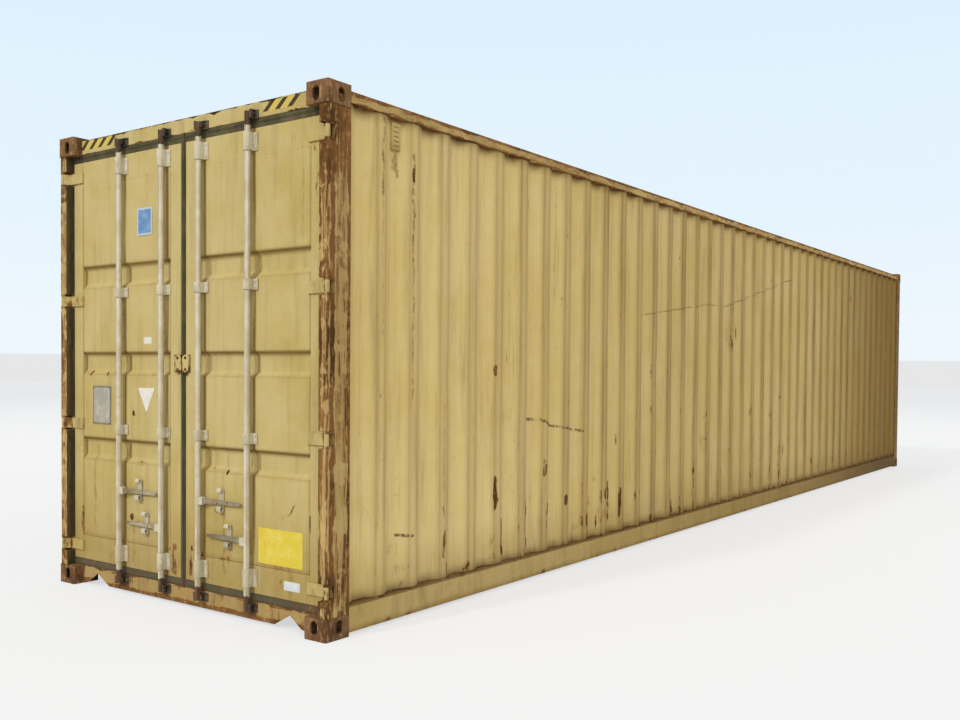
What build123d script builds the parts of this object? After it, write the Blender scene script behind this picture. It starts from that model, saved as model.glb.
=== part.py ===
# Forty-foot high-cube shipping container, in millimetres.
# X runs along the box with the door end at -X, Y runs across it and Z is up.
# The origin is on the ground, below the middle of the box.
# Two words are used for places: "in" is a distance inwards from the door end's
# plane, and "deep" is a distance inwards from a long side's plane.

import os
from math import cos, radians, sin

from build123d import *

# Overall size
length = 12192
width = 2438
height = 2896

# Corner castings
casting_length = 178
casting_width = 162
casting_height = 118
casting_plate = 28
casting_wall = 12
casting_round = 10
slot_length = 124.5
slot_width = 63.5
slot_end = 103.5
slot_side = 89.5
side_hole_height = 79
side_hole_width = 51
side_hole_level = 63.5
end_hole_side = 89
side_hole_end = 101.5

# Corner posts
post_face = 8
post_side = 4
rear_post_width = 66
front_post_width = 56
post_wall = 8
post_web_gap = 4

# Rails and end frames
rail_side = 8
top_rail_size = 60
top_rail_drop = 87
top_rail_wall = 4
bottom_rail_low = 17
bottom_rail_high = 163
bottom_rail_flange = 48
bottom_rail_wall = 5
door_frame_face = 60
door_frame_depth = 90
header_height = 88
header_drop = 20
sill_low = 16
sill_high = 150
sill_step_high = 118
sill_step_depth = 46
notch_start_side = 454
notch_peak_side = 331
notch_foot_side = 241
notch_peak_level = 84
notch_foot_level = 20
notch_end_level = 10
frame_wall = 6
front_sill_depth = 60
front_sill_low = 38

# Corrugated walls
side_sheet_face = 14
side_sheet = 2
side_depth = 36
side_flat = 72
side_end_flat = 4
side_waves = 42
front_sheet_face = 12
front_sheet = 2
front_depth = 45.6
front_flat = 104
front_end_flat = 20
front_waves = 9

# Roof
roof_drop = 30
roof_sheet = 2
roof_rise = 18
roof_ribs = 55
rib_width = 80
rib_taper = 45
rib_end_margin = 110
roof_end_margin = 60

# Floor and underside
floor_thickness = 28
floor_gap = 1
member_height = 122
member_flange = 45
member_wall = 4.5
member_pitch = 305
tunnel_length = 3150
tunnel_half_width = 514.5
tunnel_plate = 5
tunnel_height = 120
tunnel_beam = 60
outrigger_start = 60

# Doors
leaf_face = 58
leaf_depth = 50
leaf_side = 82
door_middle = 14
leaf_middle = 25
leaf_low = 166
leaf_drop = 162
stile_width = 95
stile_wall = 4
door_rail_height = 155
door_rail_wall = 4
door_panel_sheet = 3
band_depth = 28
band_height = 144
band_shares = [0.283, 0.496, 0.711]
gasket_gap = 0.3
gasket_middle = 4
gasket_front = 64
gasket_back = 102

# Hinges
hinge_low = 255
hinge_drop = 261
hinge_count = 4
hinge_in = 18
hinge_deep = 18
pin_radius = 8
pin_clearance = 0.08
knuckle_radius = 13
blade_height = 65
blade_thickness = 12
blade_reach = 190
blade_bend_deep = 62
blade_bend_step = 4
blade_root_in = 6
blade_root_side = 9
lug_thickness = 12
lug_gap = 0.5
lug_radius = 14

# Locking bars
bar_middle = 172
bar_side = 626
bar_in = 28
bar_radius = 17
bar_low = 70
bar_drop = 72
bar_clearance = 0.3
bar_turns = [1, -1, 1, -1]
cam_radius = 26
cam_height = 26
cam_inset = 16
cam_nose = 60
cam_heel = -74
cam_steps = 8
keeper_shelf = 6
keeper_gap = 6
keeper_half_width = 56
keeper_shelf_inset = 18
keeper_plate = 4
keeper_plate_gap = 2
keeper_hook_start = 19
keeper_hook_end = 33
keeper_hook_in = 21
keeper_hook_depth = 15
guide_radius = 24
guide_shares = [0.335, 0.667]
guide_height = 60
bearing_low = 252
bearing_drop = 236
bearing_height = 100
guide_plate = 8
guide_plate_width = 110

# Handles
handle_levels = [650, 452, 650, 452]
handle_length = 356
handle_thickness = 10
handle_height = 28
handle_tip = 18
handle_bend_start = 64
handle_bend_end = 110
handle_set_back = 12
handle_pivot = 34
pivot_radius = 6
hub_height = 44
cheek_thickness = 6
cheek_gap = 1
cheek_reach = 50
catch_place = 178
catch_width = 40
catch_low = -62
catch_high = 84
catch_plate = 6
catch_seat = -20
catch_ledge = 8
catch_reach = 30

# Plate over the meeting edge of the doors
lock_plate_share = 0.496
lock_plate_height = 104
lock_plate_width = 60
lock_plate_thickness = 14
lock_plate_gap = 2

# Vent on the right-hand wall, on the second recess from the door end
vent_recess = 2
vent_width = 68
vent_height = 150
vent_drop = 110
vent_thickness = 16
vent_wall = 3
vent_louvres = 5
vent_slot_height = 4
vent_lip = 10

# Cutting tools run past what they cut by this much
overrun = 1

# Derived places
half_length = length / 2
half_width = width / 2
door_end = -half_length
casting_end = half_length - casting_length
between_castings = half_width - casting_width
post_height_low = casting_height
post_height_high = height - casting_height
web_x = door_end + leaf_face + post_web_gap
header_low = height - header_drop - header_height
header_high = height - header_drop
top_rail_level = height - top_rail_drop
roof_level = height - roof_drop
leaf_high = height - leaf_drop
leaf_height = leaf_high - leaf_low
bar_high = height - bar_drop
bar_outer = half_width - bar_side
bar_places = [door_middle + y for y in (bar_outer, bar_middle, -bar_middle, -bar_outer)]
hinge_step = (height - hinge_drop - hinge_low) / (hinge_count - 1)
hinge_levels = [hinge_low + k * hinge_step for k in range(hinge_count)]
lug_inner = blade_height / 2 + lug_gap
lug_outer = lug_inner + lug_thickness
band_levels = [leaf_low + share * leaf_height for share in band_shares]
guide_levels = [leaf_low + share * leaf_height for share in guide_shares]
bearing_levels = [bearing_low, height - bearing_drop]
lock_plate_level = leaf_low + lock_plate_share * leaf_height
rear_post_inner = half_width - post_side - rear_post_width
front_post_inner = half_width - post_side - front_post_width
leaf_outer_edge = half_width - leaf_side
leaf_plane = door_end + leaf_face
bar_x = door_end + bar_in
hinge_x = door_end + hinge_in
hinge_y = half_width - hinge_deep
floor_top = sill_high + floor_thickness
sides = {"left": 1, "right": -1}

os.makedirs("parts", exist_ok=True)


def save(name, part):
    part.label = name
    export_step(part, "parts/" + name + ".step")


def block(x0, x1, y0, y1, z0, z1):
    """A plain box between two corners."""
    with BuildPart(mode=Mode.PRIVATE) as box:
        with BuildSketch(Plane.XY.offset(z0)):
            with Locations(((x0 + x1) / 2, (y0 + y1) / 2)):
                Rectangle(abs(x1 - x0), abs(y1 - y0))
        extrude(amount=z1 - z0)
    return box.part


def tube(x, y, z0, z1, radius):
    """An upright round bar."""
    with BuildPart(mode=Mode.PRIVATE) as rod:
        with BuildSketch(Plane.XY.offset(z0)):
            with Locations((x, y)):
                Circle(radius)
        extrude(amount=z1 - z0)
    return rod.part


def upright(points, z0, z1):
    """A plan outline of straight edges, raised from z0 to z1."""
    with BuildPart(mode=Mode.PRIVATE) as prism:
        with BuildSketch(Plane.XY.offset(z0)):
            with BuildLine():
                Polyline(points, close=True)
            make_face()
        extrude(amount=z1 - z0)
    return prism.part


def channel(x0, x1, y0, y1, z0, z1, wall, open_side):
    """A pressed channel along its longest side, open towards one face."""
    with BuildPart(mode=Mode.PRIVATE) as bar:
        add(block(x0, x1, y0, y1, z0, z1))
        low = [x0, y0, z0]
        high = [x1, y1, z1]
        longest = max(range(3), key=lambda k: high[k] - low[k])
        axis = {"x": 0, "y": 1, "z": 2}[open_side[1]]
        for k in range(3):
            if k != longest:
                low[k] += wall
                high[k] -= wall
        if open_side[0] == "+":
            high[axis] += wall
        else:
            low[axis] -= wall
        add(block(low[0], high[0], low[1], high[1], low[2], high[2]), mode=Mode.SUBTRACT)
    return bar.part


def wave(start, flat, depth, pitch, waves, end_flat):
    """Points of a pressed sheet: a flat at the face, then troughs and crests in turn."""
    slope = (pitch - 2 * flat) / 2
    points = [(start, 0)]
    here = start + end_flat
    for k in range(waves):
        points.append((here, 0))
        points.append((here + slope, depth))
        points.append((here + slope + flat, depth))
        points.append((here + 2 * slope + flat, 0))
        here += pitch
    points.append((here - flat + end_flat, 0))
    return points


# Corner castings: a hollow block with a slot above or below and a hole in each outer face.
def corner_casting(sx, sy, top):
    x0 = sx * (half_length - casting_length / 2)
    y0 = sy * (half_width - casting_width / 2)
    z0 = height - casting_height if top else 0
    slot_x = sx * (half_length - slot_end)
    slot_y = sy * (half_width - slot_side)
    plate_low = casting_wall if top else casting_plate
    plate_high = casting_plate if top else casting_wall
    hole_z = height - side_hole_level if top else side_hole_level
    with BuildPart() as casting:
        with BuildSketch(Plane.XY.offset(z0)):
            with Locations((x0, y0)):
                RectangleRounded(casting_length, casting_width, casting_round)
        extrude(amount=casting_height)
        with BuildSketch(Plane.XY.offset(z0 + plate_low)):
            with Locations((x0, y0)):
                Rectangle(casting_length - 2 * casting_wall, casting_width - 2 * casting_wall)
        extrude(amount=casting_height - plate_low - plate_high, mode=Mode.SUBTRACT)
        with BuildSketch(Plane.XY.offset(height - casting_plate - overrun if top else -overrun)):
            with Locations((slot_x, slot_y)):
                SlotOverall(slot_length, slot_width)
        extrude(amount=casting_plate + 2 * overrun, mode=Mode.SUBTRACT)
        with BuildSketch(Plane(origin=(sx * (half_length + overrun), sy * (half_width - end_hole_side), hole_z),
                               x_dir=(0, 0, 1), z_dir=(-sx, 0, 0))):
            SlotOverall(side_hole_height, side_hole_width)
        extrude(amount=casting_wall + 2 * overrun, mode=Mode.SUBTRACT)
        with BuildSketch(Plane(origin=(sx * (half_length - side_hole_end), sy * (half_width + overrun), hole_z),
                               x_dir=(0, 0, 1), z_dir=(0, -sy, 0))):
            SlotOverall(side_hole_height, side_hole_width)
        extrude(amount=casting_wall + 2 * overrun, mode=Mode.SUBTRACT)
    return casting.part


for end_name, sx in (("rear", -1), ("front", 1)):
    for level, top in (("bottom", False), ("top", True)):
        with BuildPart() as castings:
            for sy in (1, -1):
                add(corner_casting(sx, sy, top))
        save(f"{end_name}_{level}_castings", castings.part)


# Rear posts: a welded box, cut away in front of each hinge but for its inner web.
for side, s in sides.items():
    y_out = s * (half_width - post_side)
    y_in = s * rear_post_inner
    with BuildPart() as rear_post:
        add(block(door_end + post_face, -casting_end, y_out, y_in, post_height_low, post_height_high))
        add(block(door_end + post_face + post_wall, -casting_end - post_wall,
                  y_out - s * post_wall, y_in + s * post_wall,
                  post_height_low - overrun, post_height_high + overrun), mode=Mode.SUBTRACT)
        add(block(web_x, web_x + post_wall, y_out, y_in, post_height_low, post_height_high))
        for level in hinge_levels:
            low = max(level - lug_outer, post_height_low - overrun)
            high = min(level + lug_outer, post_height_high + overrun)
            add(block(door_end, web_x, y_out + s * overrun, y_in - s * overrun, low, high), mode=Mode.SUBTRACT)
    save(f"rear_post_{side}", rear_post.part)

# Front posts
for side, s in sides.items():
    y_out = s * (half_width - post_side)
    y_in = s * front_post_inner
    with BuildPart() as front_post:
        add(block(casting_end, half_length - post_face, y_out, y_in, post_height_low, post_height_high))
        add(block(casting_end + post_wall, half_length - post_face - post_wall,
                  y_out - s * post_wall, y_in + s * post_wall,
                  post_height_low - overrun, post_height_high + overrun), mode=Mode.SUBTRACT)
    save(f"front_post_{side}", front_post.part)

# Hinge lugs: two ears and a pin at each hinge, welded into the post's cut-away.
for side, s in sides.items():
    with BuildPart() as lugs:
        for level in hinge_levels:
            for low in (level - lug_outer, level + lug_inner):
                with BuildSketch(Plane.XY.offset(low)):
                    with Locations((hinge_x, s * hinge_y)):
                        Circle(lug_radius)
                    with BuildLine():
                        Polyline([(hinge_x, s * (hinge_y + lug_radius)), (web_x, s * (hinge_y + lug_radius)),
                                  (web_x, s * (hinge_y - lug_radius)), (hinge_x, s * (hinge_y - lug_radius))],
                                 close=True)
                    make_face()
                extrude(amount=lug_thickness)
            with BuildSketch(Plane.XY.offset(level - lug_outer)):
                with Locations((hinge_x, s * hinge_y)):
                    Circle(pin_radius)
            extrude(amount=2 * lug_outer)
    save(f"hinge_lugs_{side}", lugs.part)


# Door header and sill: a hollow box above, and below a channel with a notch near each end, stepped
# down under the doors. The sill has ears that meet the posts.
frame_x0 = door_end + door_frame_face
frame_x1 = frame_x0 + door_frame_depth

with BuildPart() as header:
    add(block(frame_x0, frame_x1, -between_castings, between_castings, header_low, header_high))
    add(block(frame_x0 + frame_wall, frame_x1 - frame_wall, -between_castings - overrun,
              between_castings + overrun, header_low + frame_wall, header_high - frame_wall), mode=Mode.SUBTRACT)
save("door_header", header.part)

step_x = frame_x0 + sill_step_depth
with BuildPart() as sill:
    with BuildSketch(Plane(origin=(frame_x0, 0, 0), x_dir=(0, 1, 0), z_dir=(1, 0, 0))):
        with BuildLine():
            half = [(half_width - notch_start_side, sill_low), (half_width - notch_peak_side, notch_peak_level),
                    (half_width - notch_foot_side, notch_foot_level), (between_castings, notch_end_level),
                    (between_castings, sill_high)]
            Polyline(half + [(-y, z) for y, z in reversed(half)], close=True)
        make_face()
    extrude(amount=door_frame_depth)
    add(block(frame_x0 + frame_wall, frame_x1 + overrun, -between_castings - overrun, between_castings + overrun,
              notch_end_level - overrun, sill_step_high - frame_wall), mode=Mode.SUBTRACT)
    add(block(step_x + frame_wall, frame_x1 + overrun, -between_castings - overrun, between_castings + overrun,
              sill_step_high - frame_wall - overrun, sill_high - frame_wall), mode=Mode.SUBTRACT)
    add(block(frame_x0 - overrun, step_x, -between_castings - overrun, between_castings + overrun,
              sill_step_high, sill_high + overrun), mode=Mode.SUBTRACT)
    for s in (1, -1):
        add(block(step_x, frame_x1, s * (between_castings - frame_wall), s * rear_post_inner,
                  post_height_low, sill_high))
save("door_sill", sill.part)


# Cam keepers: two shelves and a hook on a plate, one above and one below each locking bar.
def keeper(y, turn, cam_z, face):
    """The hook stands on the side that the cam's nose turns away from."""
    gap = cam_height / 2 + keeper_gap
    low = cam_z - gap - keeper_shelf
    high = cam_z + gap + keeper_shelf
    back = face - keeper_plate
    shelf_front = bar_x + bar_radius + keeper_plate_gap
    shelf_half = keeper_half_width - keeper_shelf_inset
    hook_front = door_end + keeper_hook_in
    hook_y = (y + turn * keeper_hook_start, y + turn * keeper_hook_end)
    with BuildPart(mode=Mode.PRIVATE) as bracket:
        add(block(back, face, y - keeper_half_width, y + keeper_half_width, low, high))
        for shelf_low in (low, high - keeper_shelf):
            add(block(shelf_front, back, y - shelf_half, y + shelf_half, shelf_low, shelf_low + keeper_shelf))
            add(block(hook_front, back, *hook_y, shelf_low, shelf_low + keeper_shelf))
        add(block(hook_front, hook_front + keeper_hook_depth, *hook_y, low, high))
    return bracket.part


cam_low = bar_low + cam_inset
cam_high = bar_high - cam_inset

for name, cam_z in (("bottom_keepers", cam_low), ("top_keepers", cam_high)):
    with BuildPart() as keepers:
        for y, turn in zip(bar_places, bar_turns):
            add(keeper(y, turn, cam_z, frame_x0))
    save(name, keepers.part)


# Rails along the sides
for side, s in sides.items():
    y_out = s * (half_width - rail_side)
    y_in = y_out - s * top_rail_size
    with BuildPart() as top_rail:
        add(block(-casting_end, casting_end, y_out, y_in, top_rail_level, top_rail_level + top_rail_size))
        add(block(-casting_end - overrun, casting_end + overrun, y_out - s * top_rail_wall,
                  y_in + s * top_rail_wall,
                  top_rail_level + top_rail_wall, top_rail_level + top_rail_size - top_rail_wall),
            mode=Mode.SUBTRACT)
    save(f"top_rail_{side}", top_rail.part)
    y_in = y_out - s * bottom_rail_flange
    y_low = min(y_out, y_in)
    with BuildPart() as bottom_rail:
        add(channel(-casting_end, casting_end, y_low, y_low + bottom_rail_flange,
                    bottom_rail_low, bottom_rail_high, bottom_rail_wall, "-y" if s > 0 else "+y"))
    save(f"bottom_rail_{side}", bottom_rail.part)

# Corrugated side walls
side_pitch = (2 * casting_end - 2 * side_end_flat + side_flat) / side_waves
for side, s in sides.items():
    crest = half_width - side_sheet_face
    line = wave(-casting_end, side_flat, side_depth, side_pitch, side_waves, side_end_flat)
    outer = [(x, s * (crest - d)) for x, d in line]
    inner = [(x, s * (crest - side_sheet - d)) for x, d in reversed(line)]
    with BuildPart() as side_wall:
        add(upright(outer + inner, bottom_rail_high, top_rail_level))
    save(f"side_wall_{side}", side_wall.part)

# Front end: a sill, a top rail and a corrugated wall between the posts.
front_x = half_length - post_face
front_wall_half = front_post_inner
with BuildPart() as front_sill:
    for s in (1, -1):
        y_near = s * (tunnel_half_width + tunnel_plate)
        y_far = s * between_castings
        add(block(front_x - front_sill_depth, front_x, y_near, y_far, front_sill_low, sill_high))
        add(block(front_x - front_sill_depth - overrun, front_x - frame_wall, y_near + s * frame_wall,
                  y_far + s * overrun, front_sill_low + frame_wall, sill_high - frame_wall), mode=Mode.SUBTRACT)
        add(block(front_x - front_sill_depth, front_x, y_far - s * frame_wall, s * front_post_inner,
                  post_height_low, sill_high))
    add(block(front_x - front_sill_depth, front_x, -tunnel_half_width - tunnel_plate - frame_wall,
              tunnel_half_width + tunnel_plate + frame_wall, tunnel_height + tunnel_plate, sill_high))
save("front_sill", front_sill.part)

with BuildPart() as front_top_rail:
    add(block(front_x - front_sill_depth, front_x, -between_castings, between_castings,
              post_height_high, top_rail_level + top_rail_size))
    add(block(front_x - front_sill_depth + top_rail_wall, front_x - top_rail_wall,
              -between_castings - overrun, between_castings + overrun, post_height_high + top_rail_wall,
              top_rail_level + top_rail_size - top_rail_wall), mode=Mode.SUBTRACT)
save("front_top_rail", front_top_rail.part)

front_pitch = (2 * front_wall_half - 2 * front_end_flat + front_flat) / front_waves
line = wave(-front_wall_half, front_flat, front_depth, front_pitch, front_waves, front_end_flat)
outer = [(half_length - front_sheet_face - d, y) for y, d in line]
inner = [(half_length - front_sheet_face - front_sheet - d, y) for y, d in reversed(line)]
with BuildPart() as front_wall:
    add(upright(outer + inner, sill_high, post_height_high))
save("front_wall", front_wall.part)

# Roof: one sheet between the rails with pressed ribs across it, hollow from below.
roof_half = half_width - rail_side - top_rail_size
roof_x0 = frame_x1
roof_x1 = front_x - front_sill_depth
rib_pitch = (roof_x1 - roof_x0 - 2 * roof_end_margin) / roof_ribs
rib_middle = (roof_x0 + roof_x1) / 2


def rib_field(level):
    with BuildPart(mode=Mode.PRIVATE) as ribs:
        with BuildSketch(Plane.XY.offset(level)):
            with Locations((rib_middle, 0)):
                with GridLocations(rib_pitch, 1, roof_ribs, 1):
                    Rectangle(rib_width, 2 * (roof_half - rib_end_margin))
        extrude(amount=roof_rise, taper=rib_taper)
    return ribs.part


with BuildPart() as roof:
    add(block(roof_x0, roof_x1, -roof_half, roof_half, roof_level, roof_level + roof_sheet))
    add(rib_field(roof_level + roof_sheet))
    add(rib_field(roof_level), mode=Mode.SUBTRACT)
    for sx in (-1, 1):
        for sy in (-1, 1):
            add(block(sx * casting_end, sx * half_length, sy * between_castings, sy * half_width,
                      roof_level - overrun, height), mode=Mode.SUBTRACT)
save("roof", roof.part)

# Floor of plywood on the cross members
with BuildPart() as floor:
    floor_half = half_width - rail_side - bottom_rail_flange - floor_gap
    add(block(-casting_end, casting_end, -floor_half, floor_half, sill_high, floor_top))
    add(block(frame_x1, -casting_end, -rear_post_inner, rear_post_inner, sill_high, floor_top))
    add(block(casting_end, front_x - front_sill_depth, -front_post_inner, front_post_inner,
              sill_high, floor_top))
save("floor", floor.part)

# Cross members and the tunnel at the front end
member_half = half_width - rail_side - bottom_rail_wall
tunnel_start = half_length - post_face - tunnel_length
with BuildPart() as members:
    first = frame_x1 + member_pitch / 2
    count = int((tunnel_start - tunnel_beam - first) / member_pitch)
    for k in range(count):
        x = first + k * member_pitch
        add(channel(x, x + member_flange, -member_half, member_half, sill_high - member_height,
                    sill_high, member_wall, "+x"))
save("cross_members", members.part)

with BuildPart() as tunnel:
    add(channel(tunnel_start - tunnel_beam, tunnel_start, -member_half, member_half,
                sill_high - member_height, sill_high, tunnel_plate, "-x"))
    add(block(tunnel_start, front_x - front_sill_depth, -tunnel_half_width - tunnel_plate,
              tunnel_half_width + tunnel_plate, tunnel_height, tunnel_height + tunnel_plate))
    for s in (1, -1):
        y0 = s * tunnel_half_width
        add(block(tunnel_start, front_x - front_sill_depth, y0, y0 + s * tunnel_plate,
                  sill_high - member_height, tunnel_height + tunnel_plate))
save("gooseneck_tunnel", tunnel.part)

with BuildPart() as outriggers:
    reach = member_half - tunnel_half_width - tunnel_plate
    count = int(tunnel_length / member_pitch)
    for s in (1, -1):
        y_low = tunnel_half_width + tunnel_plate if s > 0 else -member_half
        for k in range(count):
            x = tunnel_start + outrigger_start + k * member_pitch
            add(channel(x, x + member_flange, y_low, y_low + reach, sill_high - member_height,
                        sill_high, member_wall, "+x"))
save("outriggers", outriggers.part)


# Door leaves: stiles and rails, a pressed panel, a rubber seal, hinge blades and lock brackets.
def leaf_span(s):
    """The leaf's edges across the box: the meeting edge, then the hinge edge."""
    return door_middle + s * leaf_middle, s * leaf_outer_edge


leaf_x1 = leaf_plane + leaf_depth

for side, s in sides.items():
    y_mid, y_hinge = leaf_span(s)
    with BuildPart() as stiles:
        for y0, y1 in ((y_mid, y_mid + s * stile_width), (y_hinge - s * stile_width, y_hinge)):
            add(block(leaf_plane, leaf_x1, y0, y1, leaf_low, leaf_high))
            add(block(leaf_plane + stile_wall, leaf_x1 - stile_wall, y0 + s * stile_wall, y1 - s * stile_wall,
                      leaf_low - overrun, leaf_high - stile_wall), mode=Mode.SUBTRACT)
    save(f"door_stiles_{side}", stiles.part)

    y0 = y_mid + s * stile_width
    y1 = y_hinge - s * stile_width
    y_low = min(y0, y1)
    y_high = max(y0, y1)
    with BuildPart() as door_rails:
        for z0 in (leaf_low, leaf_high - door_rail_height):
            add(channel(leaf_plane, leaf_x1, y_low, y_high, z0, z0 + door_rail_height, door_rail_wall, "+x"))
    save(f"door_rails_{side}", door_rails.part)

    # The panel is pressed inwards in bands, seen here as a section in X and Z.
    section = [(leaf_plane, leaf_low + door_rail_height)]
    for level in band_levels:
        low = level - band_height / 2
        high = level + band_height / 2
        section += [(leaf_plane, low), (leaf_plane + band_depth, low + band_depth),
                    (leaf_plane + band_depth, high - band_depth), (leaf_plane, high)]
    section.append((leaf_plane, leaf_high - door_rail_height))
    back = [(x + door_panel_sheet, z) for x, z in reversed(section)]
    with BuildPart() as door_panel:
        with BuildSketch(Plane(origin=(0, y_low, 0), x_dir=(1, 0, 0), z_dir=(0, -1, 0))):
            with BuildLine():
                Polyline(section + back, close=True)
            make_face()
        extrude(amount=-(y_high - y_low))
    save(f"door_panel_{side}", door_panel.part)

    # The seal rings the leaf and stops just short of the frame, lower beside the castings.
    seal_mid = door_middle + s * gasket_middle
    seal_hinge = s * (rear_post_inner - gasket_gap)
    x0 = door_end + gasket_front
    x1 = door_end + gasket_back
    with BuildPart() as seal:
        add(block(x0, x1, seal_mid, seal_hinge, sill_step_high + gasket_gap, post_height_high - gasket_gap))
        add(block(x0, x1, seal_mid, s * (between_castings - gasket_gap), leaf_high, header_low - gasket_gap))
        add(block(x0 - overrun, x1 + overrun, y_mid, y_hinge, leaf_low, leaf_high), mode=Mode.SUBTRACT)
    save(f"door_seal_{side}", seal.part)

    # Hinge blades turn on the pins and are welded flat to the leaf.
    with BuildPart() as blades:
        for level in hinge_levels:
            low = level - blade_height / 2
            x_face = leaf_plane - blade_thickness
            y_bend = s * (half_width - blade_bend_deep)
            y_end = s * (half_width - blade_reach)
            with BuildSketch(Plane.XY.offset(low)):
                with Locations((hinge_x, s * hinge_y)):
                    Circle(knuckle_radius)
                with BuildLine():
                    Polyline([(hinge_x + blade_root_in, s * (hinge_y + blade_root_side)),
                              (leaf_plane, y_bend + s * blade_bend_step), (leaf_plane, y_end), (x_face, y_end),
                              (x_face, y_bend - s * blade_bend_step / 2),
                              (hinge_x - blade_root_in, s * (hinge_y - blade_root_side))], close=True)
                make_face()
            extrude(amount=blade_height)
            with BuildSketch(Plane.XY.offset(low)):
                with Locations((hinge_x, s * hinge_y)):
                    Circle(pin_radius + pin_clearance)
            extrude(amount=blade_height, mode=Mode.SUBTRACT)
    save(f"hinge_blades_{side}", blades.part)

    # Bearings and guides carry the locking bars on the leaf.
    with BuildPart() as guides:
        for y in bar_places:
            if (y - door_middle) * s < 0:
                continue
            supports = [(level, bearing_height) for level in bearing_levels]
            supports += [(level, guide_height) for level in guide_levels]
            for level, tall in supports:
                low = level - tall / 2
                add(block(leaf_plane - guide_plate, leaf_plane, y - guide_plate_width / 2,
                          y + guide_plate_width / 2, low, low + tall))
                add(block(bar_x, leaf_plane - guide_plate, y - guide_radius, y + guide_radius, low, low + tall))
                add(tube(bar_x, y, low, low + tall, guide_radius))
                add(tube(bar_x, y, low - overrun, low + tall + overrun, bar_radius + bar_clearance),
                    mode=Mode.SUBTRACT)
    save(f"bar_guides_{side}", guides.part)

    # Handle catches: a plate with a ledge under the handle and a hood above it.
    with BuildPart() as catches:
        for k, y in enumerate(bar_places):
            if (y - door_middle) * s < 0:
                continue
            mid = y - bar_turns[k] * catch_place
            z = handle_levels[k]
            add(block(leaf_plane - catch_plate, leaf_plane, mid - catch_width / 2, mid + catch_width / 2,
                      z + catch_low, z + catch_high))
            for low in (z + catch_seat - catch_ledge, z + catch_high - catch_ledge):
                add(block(leaf_plane - catch_reach, leaf_plane, mid - catch_width / 2, mid + catch_width / 2,
                          low, low + catch_ledge))
    save(f"handle_catches_{side}", catches.part)

    # Plate that guards the meeting edge
    plate_edge = gasket_middle + lock_plate_gap
    with BuildPart() as lock_plate:
        add(block(leaf_plane - lock_plate_thickness, leaf_plane, door_middle + s * plate_edge,
                  door_middle + s * (plate_edge + lock_plate_width), lock_plate_level - lock_plate_height / 2,
                  lock_plate_level + lock_plate_height / 2))
    save(f"lock_plate_{side}", lock_plate.part)


# Vent: a hollow louvred cover on the flat of a recess, high on the right-hand wall.
vent_x = -casting_end + side_end_flat + (side_pitch - 2 * side_flat) / 2 + side_flat / 2
vent_x += (vent_recess - 1) * side_pitch
vent_y = -(half_width - side_sheet_face - side_depth)
vent_low = height - vent_drop - vent_height
vent_step = (vent_height - 2 * vent_lip) / vent_louvres
with BuildPart() as vent:
    add(block(vent_x - vent_width / 2, vent_x + vent_width / 2, vent_y - vent_thickness, vent_y,
              vent_low, vent_low + vent_height))
    add(block(vent_x - vent_width / 2 + vent_wall, vent_x + vent_width / 2 - vent_wall,
              vent_y - vent_thickness + vent_wall, vent_y + overrun,
              vent_low + vent_wall, vent_low + vent_height - vent_wall), mode=Mode.SUBTRACT)
    for k in range(vent_louvres):
        slot_middle = vent_low + vent_lip + (k + 0.5) * vent_step
        add(block(vent_x - vent_width / 2 + vent_lip, vent_x + vent_width / 2 - vent_lip,
                  vent_y - vent_thickness - overrun, vent_y - vent_thickness + vent_wall + overrun,
                  slot_middle - vent_slot_height / 2, slot_middle + vent_slot_height / 2), mode=Mode.SUBTRACT)
save("side_vent", vent.part)


# Locking bars: a tube with a cam at each end and a hub for the handle.
def cam(y, turn, cam_z):
    """A disc sector whose nose points into the box, behind the keeper's hook."""
    arc = []
    for k in range(cam_steps + 1):
        angle = radians(cam_heel + (cam_nose - cam_heel) * k / cam_steps)
        arc.append((bar_x + cam_radius * cos(angle), y + turn * cam_radius * sin(angle)))
    return upright([(bar_x, y)] + arc, cam_z - cam_height / 2, cam_z + cam_height / 2)


# Handles: a flat lever on the hub's pin, bent back towards the door beyond the hub and narrower at its tip.
def lever(y, turn, z):
    out = handle_thickness / 2
    path = [(handle_pivot - handle_height / 2, 0), (handle_bend_start, 0), (handle_bend_end, handle_set_back),
            (handle_length, handle_set_back)]
    front = [(bar_x + back - out, y - turn * along) for along, back in path]
    rear = [(bar_x + back + out, y - turn * along) for along, back in reversed(path)]
    near = y - turn * handle_pivot
    far = y - turn * (handle_length - handle_tip / 2)
    with BuildPart(mode=Mode.PRIVATE) as blade:
        add(upright(front + rear, z - handle_height / 2, z + handle_height / 2))
        with BuildSketch(Plane(origin=(bar_x - out, 0, z), x_dir=(0, 1, 0), z_dir=(1, 0, 0))):
            with Locations((near, 0)):
                Circle(handle_height / 2)
            with Locations((far, 0)):
                Circle(handle_tip / 2)
            with BuildLine():
                Polyline([(near, -handle_height / 2), (near, handle_height / 2), (far, handle_tip / 2),
                          (far, -handle_tip / 2)], close=True)
            make_face()
            with Locations((near, 0)):
                Circle(pivot_radius + pin_clearance, mode=Mode.SUBTRACT)
        extrude(amount=handle_thickness + handle_set_back, mode=Mode.INTERSECT)
    return blade.part


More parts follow.
